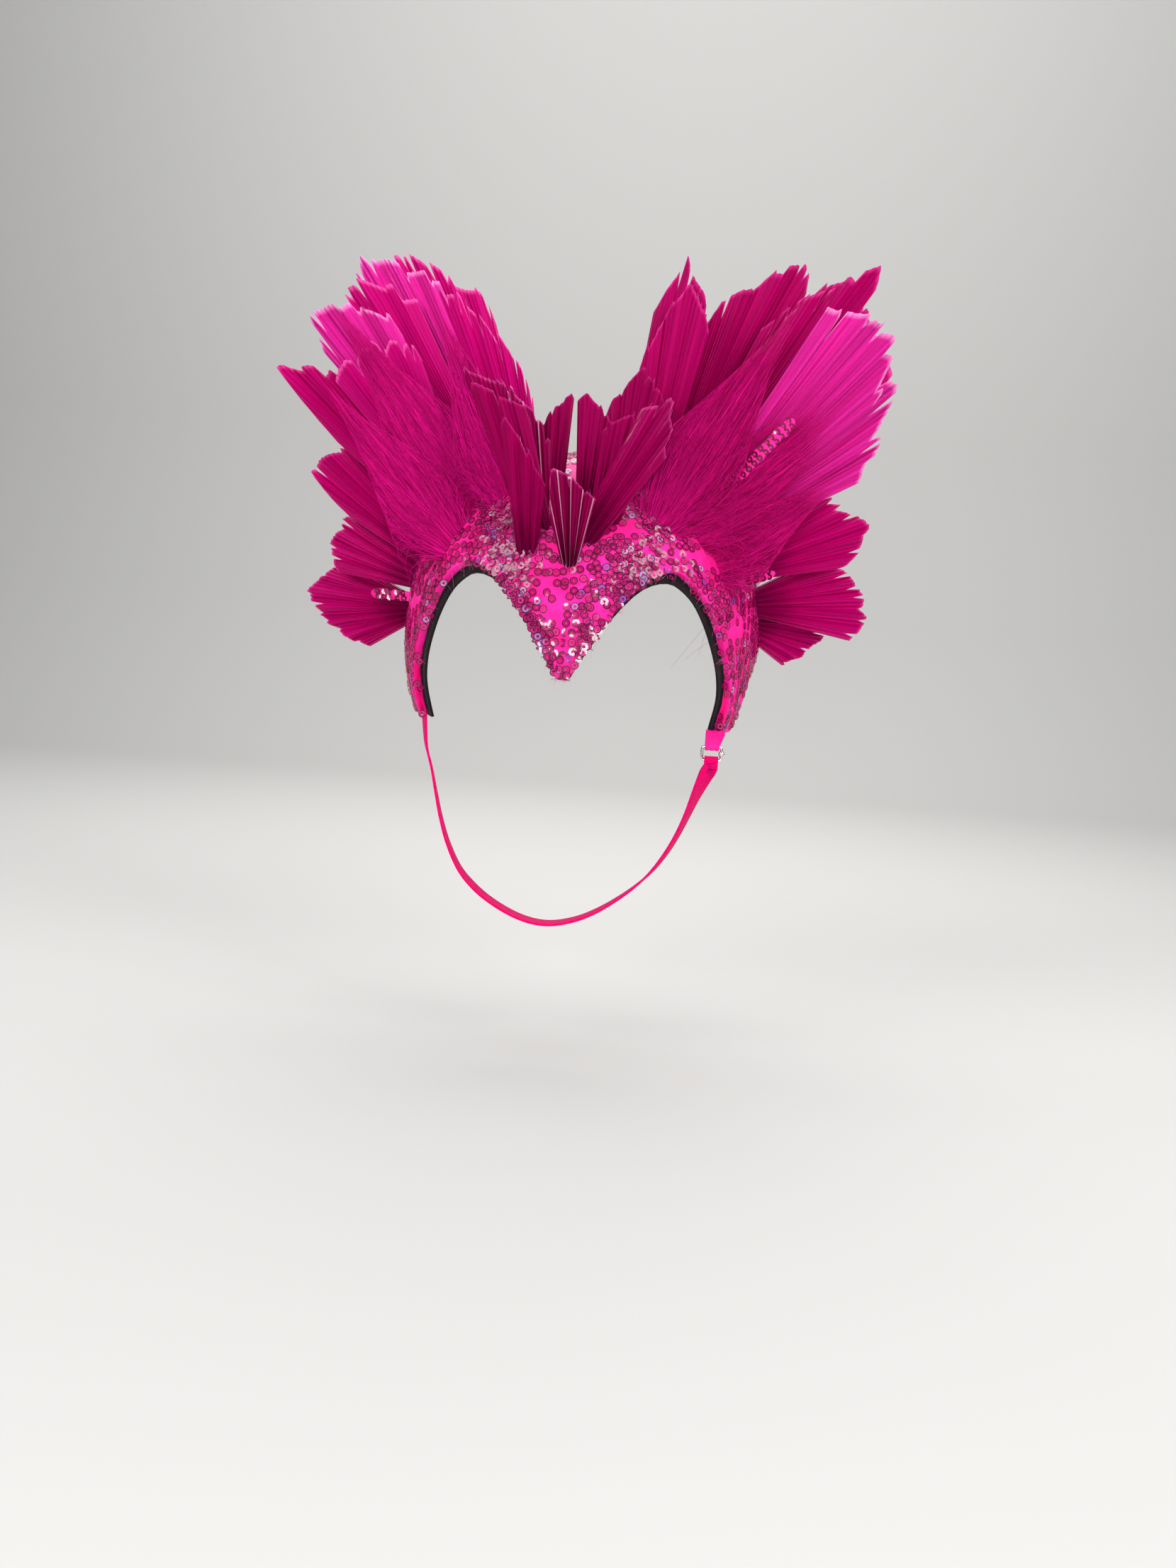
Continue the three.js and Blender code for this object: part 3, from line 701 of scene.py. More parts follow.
def clothRelief(u, v, point):  # a seam down the peak, puckers beside it and at the rim
    fan = abs(2 * u - 1) * capEdges[-1]["fan"]
    onPeak = smoothStep(v, cap["seamReach"], 0.0)
    seam = -cap["seamDepth"] * math.exp(-((fan / cap["seamWide"]) ** 2)) * onPeak
    puckers = noise.noise(Vector((point.x * 0.09, point.y * 0.05, point.z * 0.16))) * cap["pucker"]
    fold = math.sin(point.x * 1.7 + 2 * noise.noise(point * 0.12))
    gathered = cap["gather"] * fold * smoothStep(v, 0.16, 0.0) * smoothStep(fan, 14, 2)
    rimRoll = cap["rimRoll"] * math.exp(-(((v - cap["rimRollAt"]) / cap["rimRollWide"]) ** 2))
    return seam + puckers * (0.35 + 0.65 * smoothStep(v, 0.5, 0.0)) + gathered + rimRoll


def makeCap():
    def place(u, v):
        point = capPoint(u, v, cap["outside"])
        return point + formNormal(point) * clothRelief(u, v, point)

    bm = mappedGrid(cap["columns"], cap["rows"], place)
    cloth = asPiece("cap_cloth", bm, satin, "cap_shell")
    thicken(cloth, cap["outside"] - cap["inside"], -1)
    roundEdges(cloth, cap["edgeRound"], 3)

    def placeFelt(u, v):
        return capPoint(u, v, cap["feltThick"], cap["feltAndShadeShows"])

    bm = mappedGrid(cap["feltColumns"], cap["feltRows"], placeFelt)
    inner = asPiece("felt_lining", bm, felt, "lining")
    thicken(inner, cap["feltThick"], -1)
    roundEdges(inner, cap["feltRound"], 2)


makeCap()
print("cap and lining made")

# Palm leaves, by columns: fan and depth seat the foot on the cap, spread and lean aim it, open is the
# angle of its fan, tip is where across it (-1 to 1) it is longest, left, length and right are how long it
# is at its left edge, at the tip and at its right edge, and tone is its colour set: the leaves' dye,
# lighter or darker leaf by leaf, with painted shade at every foot and painted sheen on the lighter satin
# set
leafColumns = ("fan", "depth", "spread", "lean", "open", "tip", "left", "length", "right", "tone")
leaves = {
    "leaf_centre_1": (0, -92, -2, -13, 22, -0.55, 20, 40, 27, "waxed"),
    "leaf_centre_2": (3, -88, 31, -4, 8, -0.2, 58, 68, 50, "glossy"),
    "leaf_centre_3": (7, -82, 13, -3, 16, 0.2, 36, 46, 38, "dark"),
    "leaf_centre_4": (3, -76, 7, 5, 20, -0.7, 41, 44, 24, "dark"),
    "leaf_centre_5": (-6.5, -70, -1, 9, 6, 0.9, 24, 42, 40, "dark"),
    "leaf_left_front_1": (-12, -89, -3, -6, 10, -0.8, 50, 54, 29, "dark"),
    "leaf_left_front_2": (-9, -85, -19, -3, 8, -0.9, 64, 66, 48, "dark"),
    "leaf_left_front_3": (-9, -79, -9, 0, 8, -0.9, 52, 54, 31, "waxed"),
    "leaf_left_front_4": (-10, -73, -18, 4, 20, -0.9, 61, 63, 28, "glossy"),
    "leaf_right_wing_1": (31, -52, 51, 3, 20, -0.3, 89, 97, 63, "satin"),
    "leaf_right_wing_2": (27, -57, 39, 2, 18, 0.3, 104, 112, 92, "satin"),
    "leaf_right_wing_3": (23, -48, 32, 6, 10, 0.4, 92, 127, 105, "deep"),
    "leaf_right_wing_4": (21, -38, 32, 9, 14, 0.1, 80, 117, 100, "deep"),
    "leaf_right_wing_5": (17, -33, 20, 13, 20, 0.7, 73, 118, 95, "deep"),
    "leaf_right_wing_6": (30, -43, 36, 7, 16, -0.6, 109, 115, 95, "mid"),
    "leaf_right_wing_7": (13, -55, 6, 9, 14, 0.2, 52, 88, 72, "deep"),
    "leaf_right_wing_8": (10, -47, 11, 12, 8, -0.2, 72, 99, 78, "deep"),
    "leaf_right_wing_9": (8, -65, 6, 7, 18, 0.1, 31, 50, 40, "dark"),
    "leaf_left_wing_1": (-27, -56, -34, 3, 20, -0.2, 81, 84, 73, "mid"),
    "leaf_left_wing_2": (-25, -51, -38, 5, 14, -0.6, 92, 112, 90, "satin"),
    "leaf_left_wing_3": (-21, -46, -36, 8, 14, -0.2, 100, 111, 92, "mid"),
    "leaf_left_wing_4": (-18, -41, -31, 10, 12, -0.7, 116, 122, 92, "satin"),
    "leaf_left_wing_5": (-14, -36, -28, 13, 16, -0.7, 112, 120, 80, "mid"),
    "leaf_left_wing_6": (-12, -53, -18, 8, 16, -0.9, 90, 92, 36, "mid"),
    "leaf_left_wing_7": (-32, -47, -46, 6, 12, -0.6, 66, 103, 80, "side"),
    "leaf_right_side_1": (40, -34, 65, 13, 28, 0.2, 47, 60, 46, "side"),
    "leaf_right_side_2": (48, -27, 80, 18, 38, 0.5, 42, 56, 50, "side"),
    "leaf_right_side_3": (54, -20, 102, 22, 40, -0.6, 40, 36, 20, "side"),
    "leaf_left_side_1": (-40, -38, -50, 10, 22, -0.6, 40, 68, 57, "side"),
    "leaf_left_side_2": (-46, -30, -66, 18, 30, -0.2, 42, 50, 43, "side"),
    "leaf_left_side_3": (-54, -22, -92, 20, 51, 0.2, 28, 58, 40, "side"),
}
narrowFeet = {"leaf_centre_1": 6, "leaf_centre_2": 9, "leaf_left_front_1": 8}
leafCut = {
    "foot": 12,
    "sink": 10,
    "thick": 0.5,
    "fold": 0.9,  # half height of the wide pleats
    "ribSpacing": 1.9,
    "rib": 0.34,  # half height of the fine ribs
    "deepRib": 1.5,  # how many times higher they are on the glossy leaves
    "rows": 16,
    "fewestRibs": 8,
    "ragged": 4,  # how far a torn finger may fall short, on a leaf 100 long
    "fingers": (3, 4, 5, 6, 8, 11),  # how many lines wide
    "slant": 6,
    "split": 13,  # how deep a split between two fingers may go
    "splitChance": 0.55,
    "fray": 0.7,
    "cup": 2.2,  # how far the sides bend back
    "sway": 1.2,
    "whiskerChance": 0.4,
    "whiskers": (0.8, 2.6),  # lengths
    "whiskerThick": 0.07,
}
footing = {"gap": 0.3, "kept": 1.4}  # off the cap's cloth, and how deep in the pad a blade is kept


def seatFrame(piece):  # the matrix from a piece's own axes to its seat on the cap
    rise = riseWhere(piece["fan"], depthOf, piece["depth"], rises["top"])
    seat = formAt(piece["fan"], rise, cap["outside"] + footing["gap"])
    spread, lean = math.radians(piece["spread"]), math.radians(piece["lean"])
    along = Vector((math.sin(spread) * math.cos(lean), math.sin(lean), math.cos(spread) * math.cos(lean)))
    across = Vector((math.cos(spread), 0, -math.sin(spread)))
    turn = Matrix((across, along, across.cross(along))).transposed().to_4x4()
    return Matrix.Translation(seat) @ turn


def dropBuried(bm):  # takes away what lies deeper in the pad than it is kept
    level = cap["outside"] - footing["kept"]
    buried = [f for f in bm.faces if all(formValue(v.co / mm, level) < 0 for v in f.verts)]
    bmesh.ops.delete(bm, geom=buried, context="FACES")


def tornEnds(count, rng):  # how much shorter each line of the leaf is: slanted fingers with splits between
    drops = [0.0] * count
    first = 0
    while first < count:
        run = rng.choice(leafCut["fingers"])
        short = rng.random() ** 1.5 * leafCut["ragged"]
        slant = rng.uniform(-1, 1) * leafCut["slant"]
        for k in range(min(run, count - first)):
            share = k / (run - 1)
            fall = slant * share if slant > 0 else -slant * (1 - share)
            drops[first + k] = short + fall + rng.random() * leafCut["fray"]
        if rng.random() < leafCut["splitChance"]:
            drops[min(count, first + run) - 1] += rng.uniform(0.2, 1) * leafCut["split"]
        first += run
    return drops


def growLeaf(leaf, index):
    rng = random.Random(100 + index)
    foot = narrowFeet.get(leaf["name"], leafCut["foot"])
    half = math.radians(leaf["open"] / 2) + (leafCut["foot"] - foot) / 2 / leaf["length"]
    apex = foot / 2 / math.sin(half)
    wide = foot + leaf["length"] * 2 * half
    ribs = max(leafCut["fewestRibs"], round(wide / leafCut["ribSpacing"]))
    drops = tornEnds(2 * ribs + 1, rng)
    folds = 2 * round(2 + leaf["open"] / 10)
    deep = leafCut["rib"] * (leafCut["deepRib"] if leaf["tone"] in ("glossy", "waxed") else 1)
    seat = seatFrame(leaf)
    sway = rng.uniform(-1, 1)

    def place(u, v):
        across = 2 * u - 1
        column = round(u * 2 * ribs)
        side = leaf["left"] if across < leaf["tip"] else leaf["right"]
        share = (across - leaf["tip"]) / ((-1 if across < leaf["tip"] else 1) - leaf["tip"])
        torn = drops[column] * min(1, leaf["length"] / 100)
        reach = leaf["length"] + (side - leaf["length"]) * share - torn
        out = apex - leafCut["sink"] + (reach + leafCut["sink"]) * v
        bigFold = abs(((u * folds / 2) % 1) * 2 - 1) * 2 - 1
        crestOrDip = 1 if column % 2 else -1
        lift = -leafCut["fold"] * bigFold * (0.5 + v / 2) + deep * crestOrDip * min(1, v * 3)
        twist = sway * leafCut["sway"] * v * v * math.sin(3 * across + sway)
        lift += leafCut["cup"] * v * (0.4 - across * across) + twist
        angle = across * half
        return seat @ Vector((out * math.sin(angle), out * math.cos(angle) - apex, lift))

    bm = mappedGrid(2 * ribs, leafCut["rows"], place)
    crest, leafUv = bm.verts.layers.float.new("crest"), bm.loops.layers.uv["UVMap"]
    for face in bm.faces:
        for loop in face.loops:
            # marks every third rib crest, where the painted highlights go
            loop.vert[crest] = round(loop[leafUv].uv.x * 2 * ribs) % 6 == 3
    dropBuried(bm)
    dye = palms[leaf["tone"]]
    piece = asPiece(leaf["name"] + "_blade", bm, dye, leaf["name"], smooth=False)
    thicken(piece, leafCut["thick"], 0)
    tips = []  # whiskers of loose fibre on the longest lines
    for column in range(1, 2 * ribs, 2):
        if rng.random() < leafCut["whiskerChance"]:
            u = column / (2 * ribs)
            end, before = place(u, 1.0), place(u, 0.97)
            way = (end - before).normalized()
            bend = Vector((rng.gauss(0, 1), rng.gauss(0, 1), rng.gauss(0, 1))) * 0.5
            size = rng.uniform(*leafCut["whiskers"])
            root = end - way * 0.6
            tips.append([root + way * size * t + bend * size * t * t * 0.6 for t in (0, 0.35, 0.7, 1)])
    return tips


whiskers = []
for index, leaf in enumerate(rowsOf(leaves, leafColumns)):
    whiskers += growLeaf(leaf, index)
strandPiece("leaf_whiskers", whiskers, [0.5] * len(whiskers), leafCut["whiskerThick"], fibre)
print("leaves grown")

# Feathers: a soft body with loose barbs along it
featherColumns = ("fan", "depth", "spread", "lean", "length", "width", "thick", "curl")
feathers = {
    "feather_right_1": (19, -73, 26, -1, 92, 34, 4, 6),
    "feather_right_2": (26, -66, 44, 0, 100, 34, 3.6, 4),
    "feather_right_3": (34, -62, 60, 0, 52, 30, 4, -4),
    "feather_left_1": (-15, -68, -22, 3.5, 74, 28, 4, -4),
    "feather_left_2": (-24, -62, -36, 3, 96, 34, 3.6, -4),
    "feather_left_3": (-31, -68, -46, -1, 76, 30, 3.6, 4),
}
shortDown = {"feather_right_2": 0.74}  # how much of its length the down covers
plume = {
    "foot": 9,
    "sink": 8,
    "core": 0.6,  # width and length of the soft body, as shares of the feather's
    "coreThick": 0.7,
    "columns": 40,
    "rows": 22,
    "barbs": 2400,
    "barbSteps": 6,
    "barbThick": 0.17,
    "barbRoots": 0.66,  # the share of the length that barbs grow from
    "barbRun": (0.16, 0.46),  # how much of the length one runs along
    "spread": 0.5,  # to the sides, in half widths
    "drift": 0.13,
    "lift": (0.6, 1.7),  # off the middle, in half thicknesses
    "stray": 0.14,  # share of them that bend away
    "strayDrift": 2.2,
}


def featherPoint(feather, across, share, lift):  # across -1 to 1, share 0 to 1 along
    bulge = math.sin(math.pi * min(1, max(0, share)) ** 0.8)
    half = (plume["foot"] + (feather["width"] - plume["foot"]) * bulge) / 2
    reach = feather["length"] * (1 - 0.28 * across * across)
    full = math.sin(math.pi * min(1, max(0, share) * 0.95)) * (1 - 0.6 * across * across)
    thick = 0.5 + (feather["thick"] / 2 - 0.7) * full
    y = -plume["sink"] + (reach + plume["sink"]) * share
    return Vector((across * half + feather["curl"] * share * share, y, thick * lift))


def growFeather(feather, index):
    rng = random.Random(300 + index)
    seat = seatFrame(feather)
    cover = shortDown.get(feather["name"], 1)

    def place(u, v):
        across = (2 * u - 1) * plume["core"]
        ragged = noise.noise(Vector((across * 11, index * 7.3, 0))) * 0.2
        share = v * (plume["core"] + ragged) * cover
        waves = noise.noise(Vector((across * 8, v * 1.2, index * 3.1))) * 0.7
        return seat @ featherPoint(feather, across, share, 0.25 + waves)

    bm = mappedGrid(plume["columns"], plume["rows"], place)
    dropBuried(bm)
    body = asPiece(feather["name"] + "_down", bm, down, feather["name"])
    thicken(body, plume["coreThick"], 0)

    strands, tints = [], []
    for _ in range(plume["barbs"]):
        start = cover * (rng.random() ** 1.4 * plume["barbRoots"] - 0.02)
        run = cover * rng.uniform(*plume["barbRun"])
        across = max(-1.05, min(1.05, rng.gauss(0, plume["spread"])))
        drift = across * rng.uniform(0.0, 0.5) + rng.gauss(0, plume["drift"])
        lift = rng.choice((1, 1, 1, -1)) * rng.uniform(*plume["lift"])
        wild = plume["strayDrift"] if rng.random() < plume["stray"] else 1
        path = []
        for step in range(plume["barbSteps"]):
            t = step / (plume["barbSteps"] - 1)
            aside = across + drift * t * t * wild
            spot = featherPoint(feather, aside, min(1.06, start + run * t), lift)
            spot.z += (1.2 if wild > 1 else 0.3) * t * t * math.copysign(1, lift)
            path.append(seat @ spot)
        strands.append(path)
        clump = noise.noise(Vector((across * 7, start * 2.5, index * 5.3)))
        tints.append(min(1, max(0, 0.5 + 0.9 * clump + rng.gauss(0, 0.16))))
    strandPiece(feather["name"] + "_barbs", strands, tints, plume["barbThick"], barb)


for index, feather in enumerate(rowsOf(feathers, featherColumns)):
    growFeather(feather, index)
print("feathers grown")


# Sequins: one ring of film, copied along wavy rows over the cloth
sequin = {
    "radius": 1.7,
    "hole": 0.55,
    "cup": 0.05,
    "thick": 0.08,  # not reached: solidify runs before the faces have normals, so a ring comes out flat
    "sides": 10,
    "rowSpacing": 3.7,
    "pitch": 3.1,
    "wander": 1.5,  # how far a row weaves off its line
    "sidesFrom": 20,  # fan angle past which the rows are fuller
    "fullSides": 0.4,  # the more, the less bare cloth
    "fullFront": 0.2,
    "stragglers": 0.4,  # chance of a ring on bare cloth
    "rimRows": ((0.25, 0.4), (0.7, 0.25)),  # share of the way from face to felt, and chance of a ring
    "tilt": 5,
}


def sequinShape():
    bm = bmesh.new()
    bmesh.ops.create_circle(bm, cap_ends=False, segments=sequin["sides"], radius=sequin["radius"])
    share = bm.verts.layers.float.new("ringShare")
    for vert in bm.verts:
        vert[share] = 1
    made = bmesh.ops.extrude_edge_only(bm, edges=list(bm.edges))
    for vert in (g for g in made["geom"] if isinstance(g, bmesh.types.BMVert)):
        vert.co *= sequin["hole"] / sequin["radius"]
        vert.co.z -= sequin["cup"]
        vert[share] = 0
    bmesh.ops.solidify(bm, geom=list(bm.faces), thickness=sequin["thick"])
    bmesh.ops.recalc_face_normals(bm, faces=list(bm.faces))
    for vert in bm.verts:
        out = (vert.co.xy.length - sequin["hole"]) / (sequin["radius"] - sequin["hole"])
        vert[share] = min(1, max(0, out))
    shape = bpy.data.meshes.new("sequin_ring")
    bm.to_mesh(shape)
    bm.free()
    return shape


def copyOver(name, shape, spots, material):  # spots: (matrix in mm, tint)
    corners = np.empty(len(shape.vertices) * 3, np.float32)
    shape.vertices.foreach_get("co", corners)
    corners = corners.reshape(-1, 3)
    shares = np.empty(len(shape.vertices), np.float32)
    shape.attributes["ringShare"].data.foreach_get("value", shares)
    faces = [tuple(p.vertices) for p in shape.polygons]
    count = len(corners)
    rings = [corners @ np.array(m.to_3x3()).T + np.array(m.translation) for m, _ in spots]
    placed = np.concatenate(rings) * mm
    joined = [tuple(i + k * count for i in face) for k in range(len(spots)) for face in faces]
    mesh = bpy.data.meshes.new(name)
    mesh.from_pydata(placed.tolist(), [], joined)
    tint = mesh.attributes.new("tint", "FLOAT", "FACE")
    tint.data.foreach_set("value", np.repeat([t for _, t in spots], len(faces)).astype(np.float32))
    ringShare = mesh.attributes.new("ringShare", "FLOAT", "POINT")
    ringShare.data.foreach_set("value", np.tile(shares, len(spots)))
    mesh.materials.append(material)
    mesh.shade_smooth()
    mesh.set_sharp_from_angle(angle=math.radians(40))
    piece = bpy.data.objects.new(name, mesh)
    bpy.context.collection.objects.link(piece)
    rideRoot(piece, None)


def sequinAt(point, normal, rng, loose=1.0):  # lays one ring on the cloth, turned and tilted a little
    turn = normal.to_track_quat("Z", "Y").to_matrix().to_4x4()
    tilt = Matrix.Rotation(math.radians(rng.gauss(0, sequin["tilt"] * loose)), 4, "X")
    tip = Matrix.Rotation(math.radians(rng.gauss(0, sequin["tilt"] * loose)), 4, "Y")
    raised = point + normal * (sequin["cup"] + 0.15 + rng.random() * 0.25)
    tint = rng.triangular(0.0, 0.8, 0.35) if rng.random() < 0.92 else rng.uniform(0.84, 1.0)
    return Matrix.Translation(raised) @ turn @ tilt @ tip, tint


def linesLength(u):  # from the rim over the crown to the rear edge
    points = [capPoint(u, k / 8, cap["outside"]) for k in range(9)]
    return sum((b - a).length for a, b in zip(points, points[1:]))


def sequinSpots():
    rng = random.Random(7)
    front, crown, rim = [], [], []
    lengths = [linesLength(k / 60) for k in range(61)]
    rows = round(lengths[30] / sequin["rowSpacing"])
    for row in range(rows):
        v = (row + 0.35) / rows
        u = 0.004 + rng.random() * 0.012
        while u < 0.996:
            length = lengths[round(u * 60)]
            here = capPoint(u, v, cap["outside"])
            step = max(0.02, (capPoint(min(1, u + 0.004), v, cap["outside"]) - here).length)
            # rows thin out where the cap is narrow
            every = 2 ** max(0, round(math.log2(lengths[30] / length)))
            fan = abs(2 * u - 1) * capEdges[-1]["fan"]
            bare = noise.noise(Vector((here.x * 0.06, here.y * 0.06 + 9, here.z * 0.06)))
            full = sequin["fullSides"] if fan > sequin["sidesFrom"] else sequin["fullFront"]
            keep = bare < full or rng.random() < sequin["stragglers"]
            if row % every == 0 and keep:
                sway = noise.noise(Vector((here.x * 0.09, here.z * 0.09, row * 0.9))) * 2 * sequin["wander"]
                lane = min(0.992, max(1.6 / length, v + (sway + rng.gauss(0, 0.3)) / length))
                point = capPoint(u, lane, cap["outside"])
                normal = formNormal(point)
                spot = sequinAt(point + normal * clothRelief(u, lane, point), normal, rng)
                (front if v < 0.4 else crown).append(spot)
            u += 0.004 * sequin["pitch"] * rng.uniform(0.9, 1.3) / step
    for share, chance in sequin["rimRows"]:
        u = 0.002
        while u < 0.998:
            outer, inner = capPoint(u, 0, cap["outside"]), capPoint(u, 0, cap["inside"])
            step = max(0.02, (capPoint(min(1, u + 0.004), 0, cap["outside"]) - outer).length)
            ahead = (outer - capPoint(u, 0.03, cap["outside"])).normalized()
            if rng.random() < chance:
                normal = (ahead + formNormal(outer) * (0.6 - share)).normalized()
                rim.append(sequinAt(outer.lerp(inner, share) + ahead * 0.1, normal, rng, 1.6))
            u += 0.004 * sequin["pitch"] * rng.uniform(1.0, 1.5) / step
    return front, crown, rim


frontSpots, crownSpots, rimSpots = sequinSpots()
ring = sequinShape()
copyOver("sequins_front", ring, frontSpots, film)
copyOver("sequins_crown", ring, crownSpots, film)
copyOver("sequins_rim", ring, rimSpots, film)
print("sequins sewn on:", len(frontSpots), len(crownSpots), len(rimSpots))


rimFray = {"threads": 260, "spread": 0.16, "length": (1.0, 3.6), "thick": 0.07}


def frayRim():  # ends of thread along the rim, most of them at the peak and the brow arches
    rng = random.Random(11)
    paths = []
    for _ in range(rimFray["threads"]):
        u = 0.5 + rng.gauss(0, rimFray["spread"])
        if not 0.02 < u < 0.98:
            continue
        start = capPoint(u, 0.004, cap["outside"] - rng.uniform(0, 2.5))
        ahead = (start - capPoint(u, 0.04, cap["outside"])).normalized()
        way = (ahead + Vector((rng.gauss(0, 0.6), rng.gauss(0, 0.4), rng.gauss(0, 0.4)))).normalized()
        bend = Vector((rng.gauss(0, 1), rng.gauss(0, 1), rng.gauss(0, 1)))
        size = rng.uniform(*rimFray["length"])
        paths.append([start + way * size * t + bend * size * 0.5 * t * t for t in (0, 0.25, 0.5, 0.75, 1)])
    strandPiece("rim_threads", paths, [0.5] * len(paths), rimFray["thick"], fibre)


frayRim()

# Cloth tabs between the leaves
tabColumns = ("fan", "depth", "spread", "lean", "length", "width")
tabs = {
    "fabric_tab_right_1": (24.5, -69.4, 42, 0, 62, 5.5),
    "fabric_tab_right_2": (42, -46, 72, 0, 14, 5),
    "fabric_tab_left_1": (-36, -58, -58, 0, 26, 7),
    "fabric_tab_left_2": (-50, -40, -88, 4, 18, 5),
}
tabCut = {
    "thick": 0.6,
    "sink": 6,
    "endCurve": 2.2,  # how much shorter it is at the corners
    "fray": 0.35,  # how far its edges weave, as a share of its half width
    "crinkle": 0.35,
    "columns": 10,
    "rows": 30,
    "firstRing": 2.0,
    "sequins": 3.0,  # from one pair of rings to the next
    "lean": 24,
    "tilt": 8,
    "raised": 0.75,
    "small": 0.8,  # the rings are smaller than the cap's
    "tint": 0.12,  # and darker
}


def cutTab(tab, index):
    rng = random.Random(500 + index)
    seat = seatFrame(tab)

    def place(u, v):
        across = 2 * u - 1
        y = -tabCut["sink"] + (tab["length"] + tabCut["sink"] - tabCut["endCurve"] * across * across) * v
        fray = tabCut["fray"] * noise.noise(Vector((u * 3, v * 24, index)))
        crinkle = tabCut["crinkle"] * math.sin(9 * v + index) * (1 - across * across)
        return seat @ Vector((across * tab["width"] / 2 * (0.85 + fray), y, crinkle))

    bm = mappedGrid(tabCut["columns"], tabCut["rows"], place)
    dropBuried(bm)
    strip = asPiece(tab["name"] + "_cloth", bm, satin, tab["name"])
    thicken(strip, tabCut["thick"], 0)
    spots = []
    y = tabCut["firstRing"]
    while y < tab["length"] - tabCut["firstRing"]:
        for across in (-0.5, 0.45):
            tilt = Matrix.Rotation(math.radians(rng.gauss(tabCut["lean"], tabCut["tilt"])), 4, "X")
            place = Matrix.Translation((across * tab["width"] / 2, y + rng.random(), tabCut["raised"]))
            spot = seat @ place @ tilt @ Matrix.Scale(tabCut["small"], 4)
            spots.append((spot, rng.uniform(0, tabCut["tint"])))
        y += tabCut["sequins"]
    copyOver(tab["name"] + "_sequins", ring, spots, film)


for index, tab in enumerate(rowsOf(tabs, tabColumns)):
    cutTab(tab, index)
print("tabs cut")


# Chin strap, hook and loop
strap = {
    "width": 8.5,
    "thick": 1.0,
    "edgeRound": 0.25,
    "centreLevel": -140,
    "eyeWidth": 6.0,
    "gap": 0.3,
    "loopRise": 6.5,  # from the hook's upper bar into the band
    "gather": 0.35,  # how much wider the loop is at its top
    "ruffle": 0.16,
    "ruffles": 17,
}
strapTop = {"fan": -79.2, "rise": 52, "outside": 2.6}  # between the pad and the felt, under the band's end
strapPath = [  # seen from the front; turn: degrees its face turns from outwards to ahead
    {"at": (-62.7, -53.8, -129.3), "turn": 13},
    {"at": (-59.7, -54, -140), "turn": 11},
    {"at": (-57.2, -54.2, -150.7), "turn": 9},
    {"at": (-54.5, -54.5, -161.4), "turn": 7},
    {"at": (-50.8, -54.8, -172.3), "turn": 5},
    {"at": (-45.3, -55, -183.1), "turn": 3},
    {"at": (-38.6, -55.2, -190.6), "turn": 0},
    {"at": (-30.6, -55.2, -196.7), "turn": 0},
    {"at": (-20.4, -55.2, -202), "turn": 0},
    {"at": (-11, -55, -204.8), "turn": 0},
    {"at": (-2, -55, -205), "turn": 0},
    {"at": (8, -55, -202.4), "turn": 0},
    {"at": (17, -55, -198), "turn": 0},
    {"at": (26, -55.2, -191.8), "turn": 2},
    {"at": (34, -55.4, -185), "turn": 5},
    {"at": (40.4, -55.4, -178.1), "turn": 9},
    {"at": (46.1, -55.8, -169.5), "turn": 12},
    {"at": (50.5, -56.4, -160.8), "turn": 14},
    {"at": (54, -57, -152.1), "turn": 18},
    {"at": (57.1, -57.6, -143.4), "turn": 27},
    {"at": (60.4, -58, -135), "turn": 44, "width": 8},
    {"at": (62, -58.3, -131.6), "turn": 70, "width": 6.8},
]
hook = {
    "at": (62.6, -57, -124.6),
    "halfWide": 4.2,
    "halfHigh": 3.1,
    "wire": 1.3,
    "corner": 0.4,  # 1 bends it round, less makes it squarer
    "ball": 2.8,
    "ballFront": 0.4,
}


def strapStations():  # each is a point, the way the face looks, and a width
    top = formAt(strapTop["fan"], strapTop["rise"], strapTop["outside"])
    stations = [(top, formNormal(top), strap["width"])]
    for stop in strapPath:
        at = Vector(stop["at"])
        outward = Vector((at.x, 0, at.z - strap["centreLevel"])).normalized()
        turn = math.radians(stop["turn"])
        facing = outward * math.cos(turn) + Vector((0, -math.sin(turn), 0))
        stations.append((at, facing, stop.get("width", strap["width"])))
    bar = Vector(hook["at"]) - Vector((0, 0, hook["halfHigh"]))
    reach = hook["wire"] / 2 + strap["gap"] + strap["thick"] / 2
    for length in (3, 1):
        stations.append((bar + Vector((0, -reach, -length)), Vector((0, -1, 0)), strap["eyeWidth"]))
    for turn in range(0, 181, 30):
        way = Vector((0, -math.cos(math.radians(turn)), math.sin(math.radians(turn))))
        stations.append((bar + way * reach, way, strap["eyeWidth"]))
    for length in (1, 3):
        stations.append((bar + Vector((0, reach, -length)), Vector((0, 1, 0)), strap["eyeWidth"]))
    return stations


def curveThrough(values, t):  # Catmull-Rom through evenly numbered values
    i = min(len(values) - 2, int(t))
    f = t - i
    a, b = values[max(0, i - 1)], values[i]
    c, d = values[i + 1], values[min(len(values) - 1, i + 2)]
    curving = (2 * a - 5 * b + 4 * c - d) * f * f
    return 0.5 * ((2 * b) + (c - a) * f + curving + (3 * b - a - 3 * c + d) * f**3)


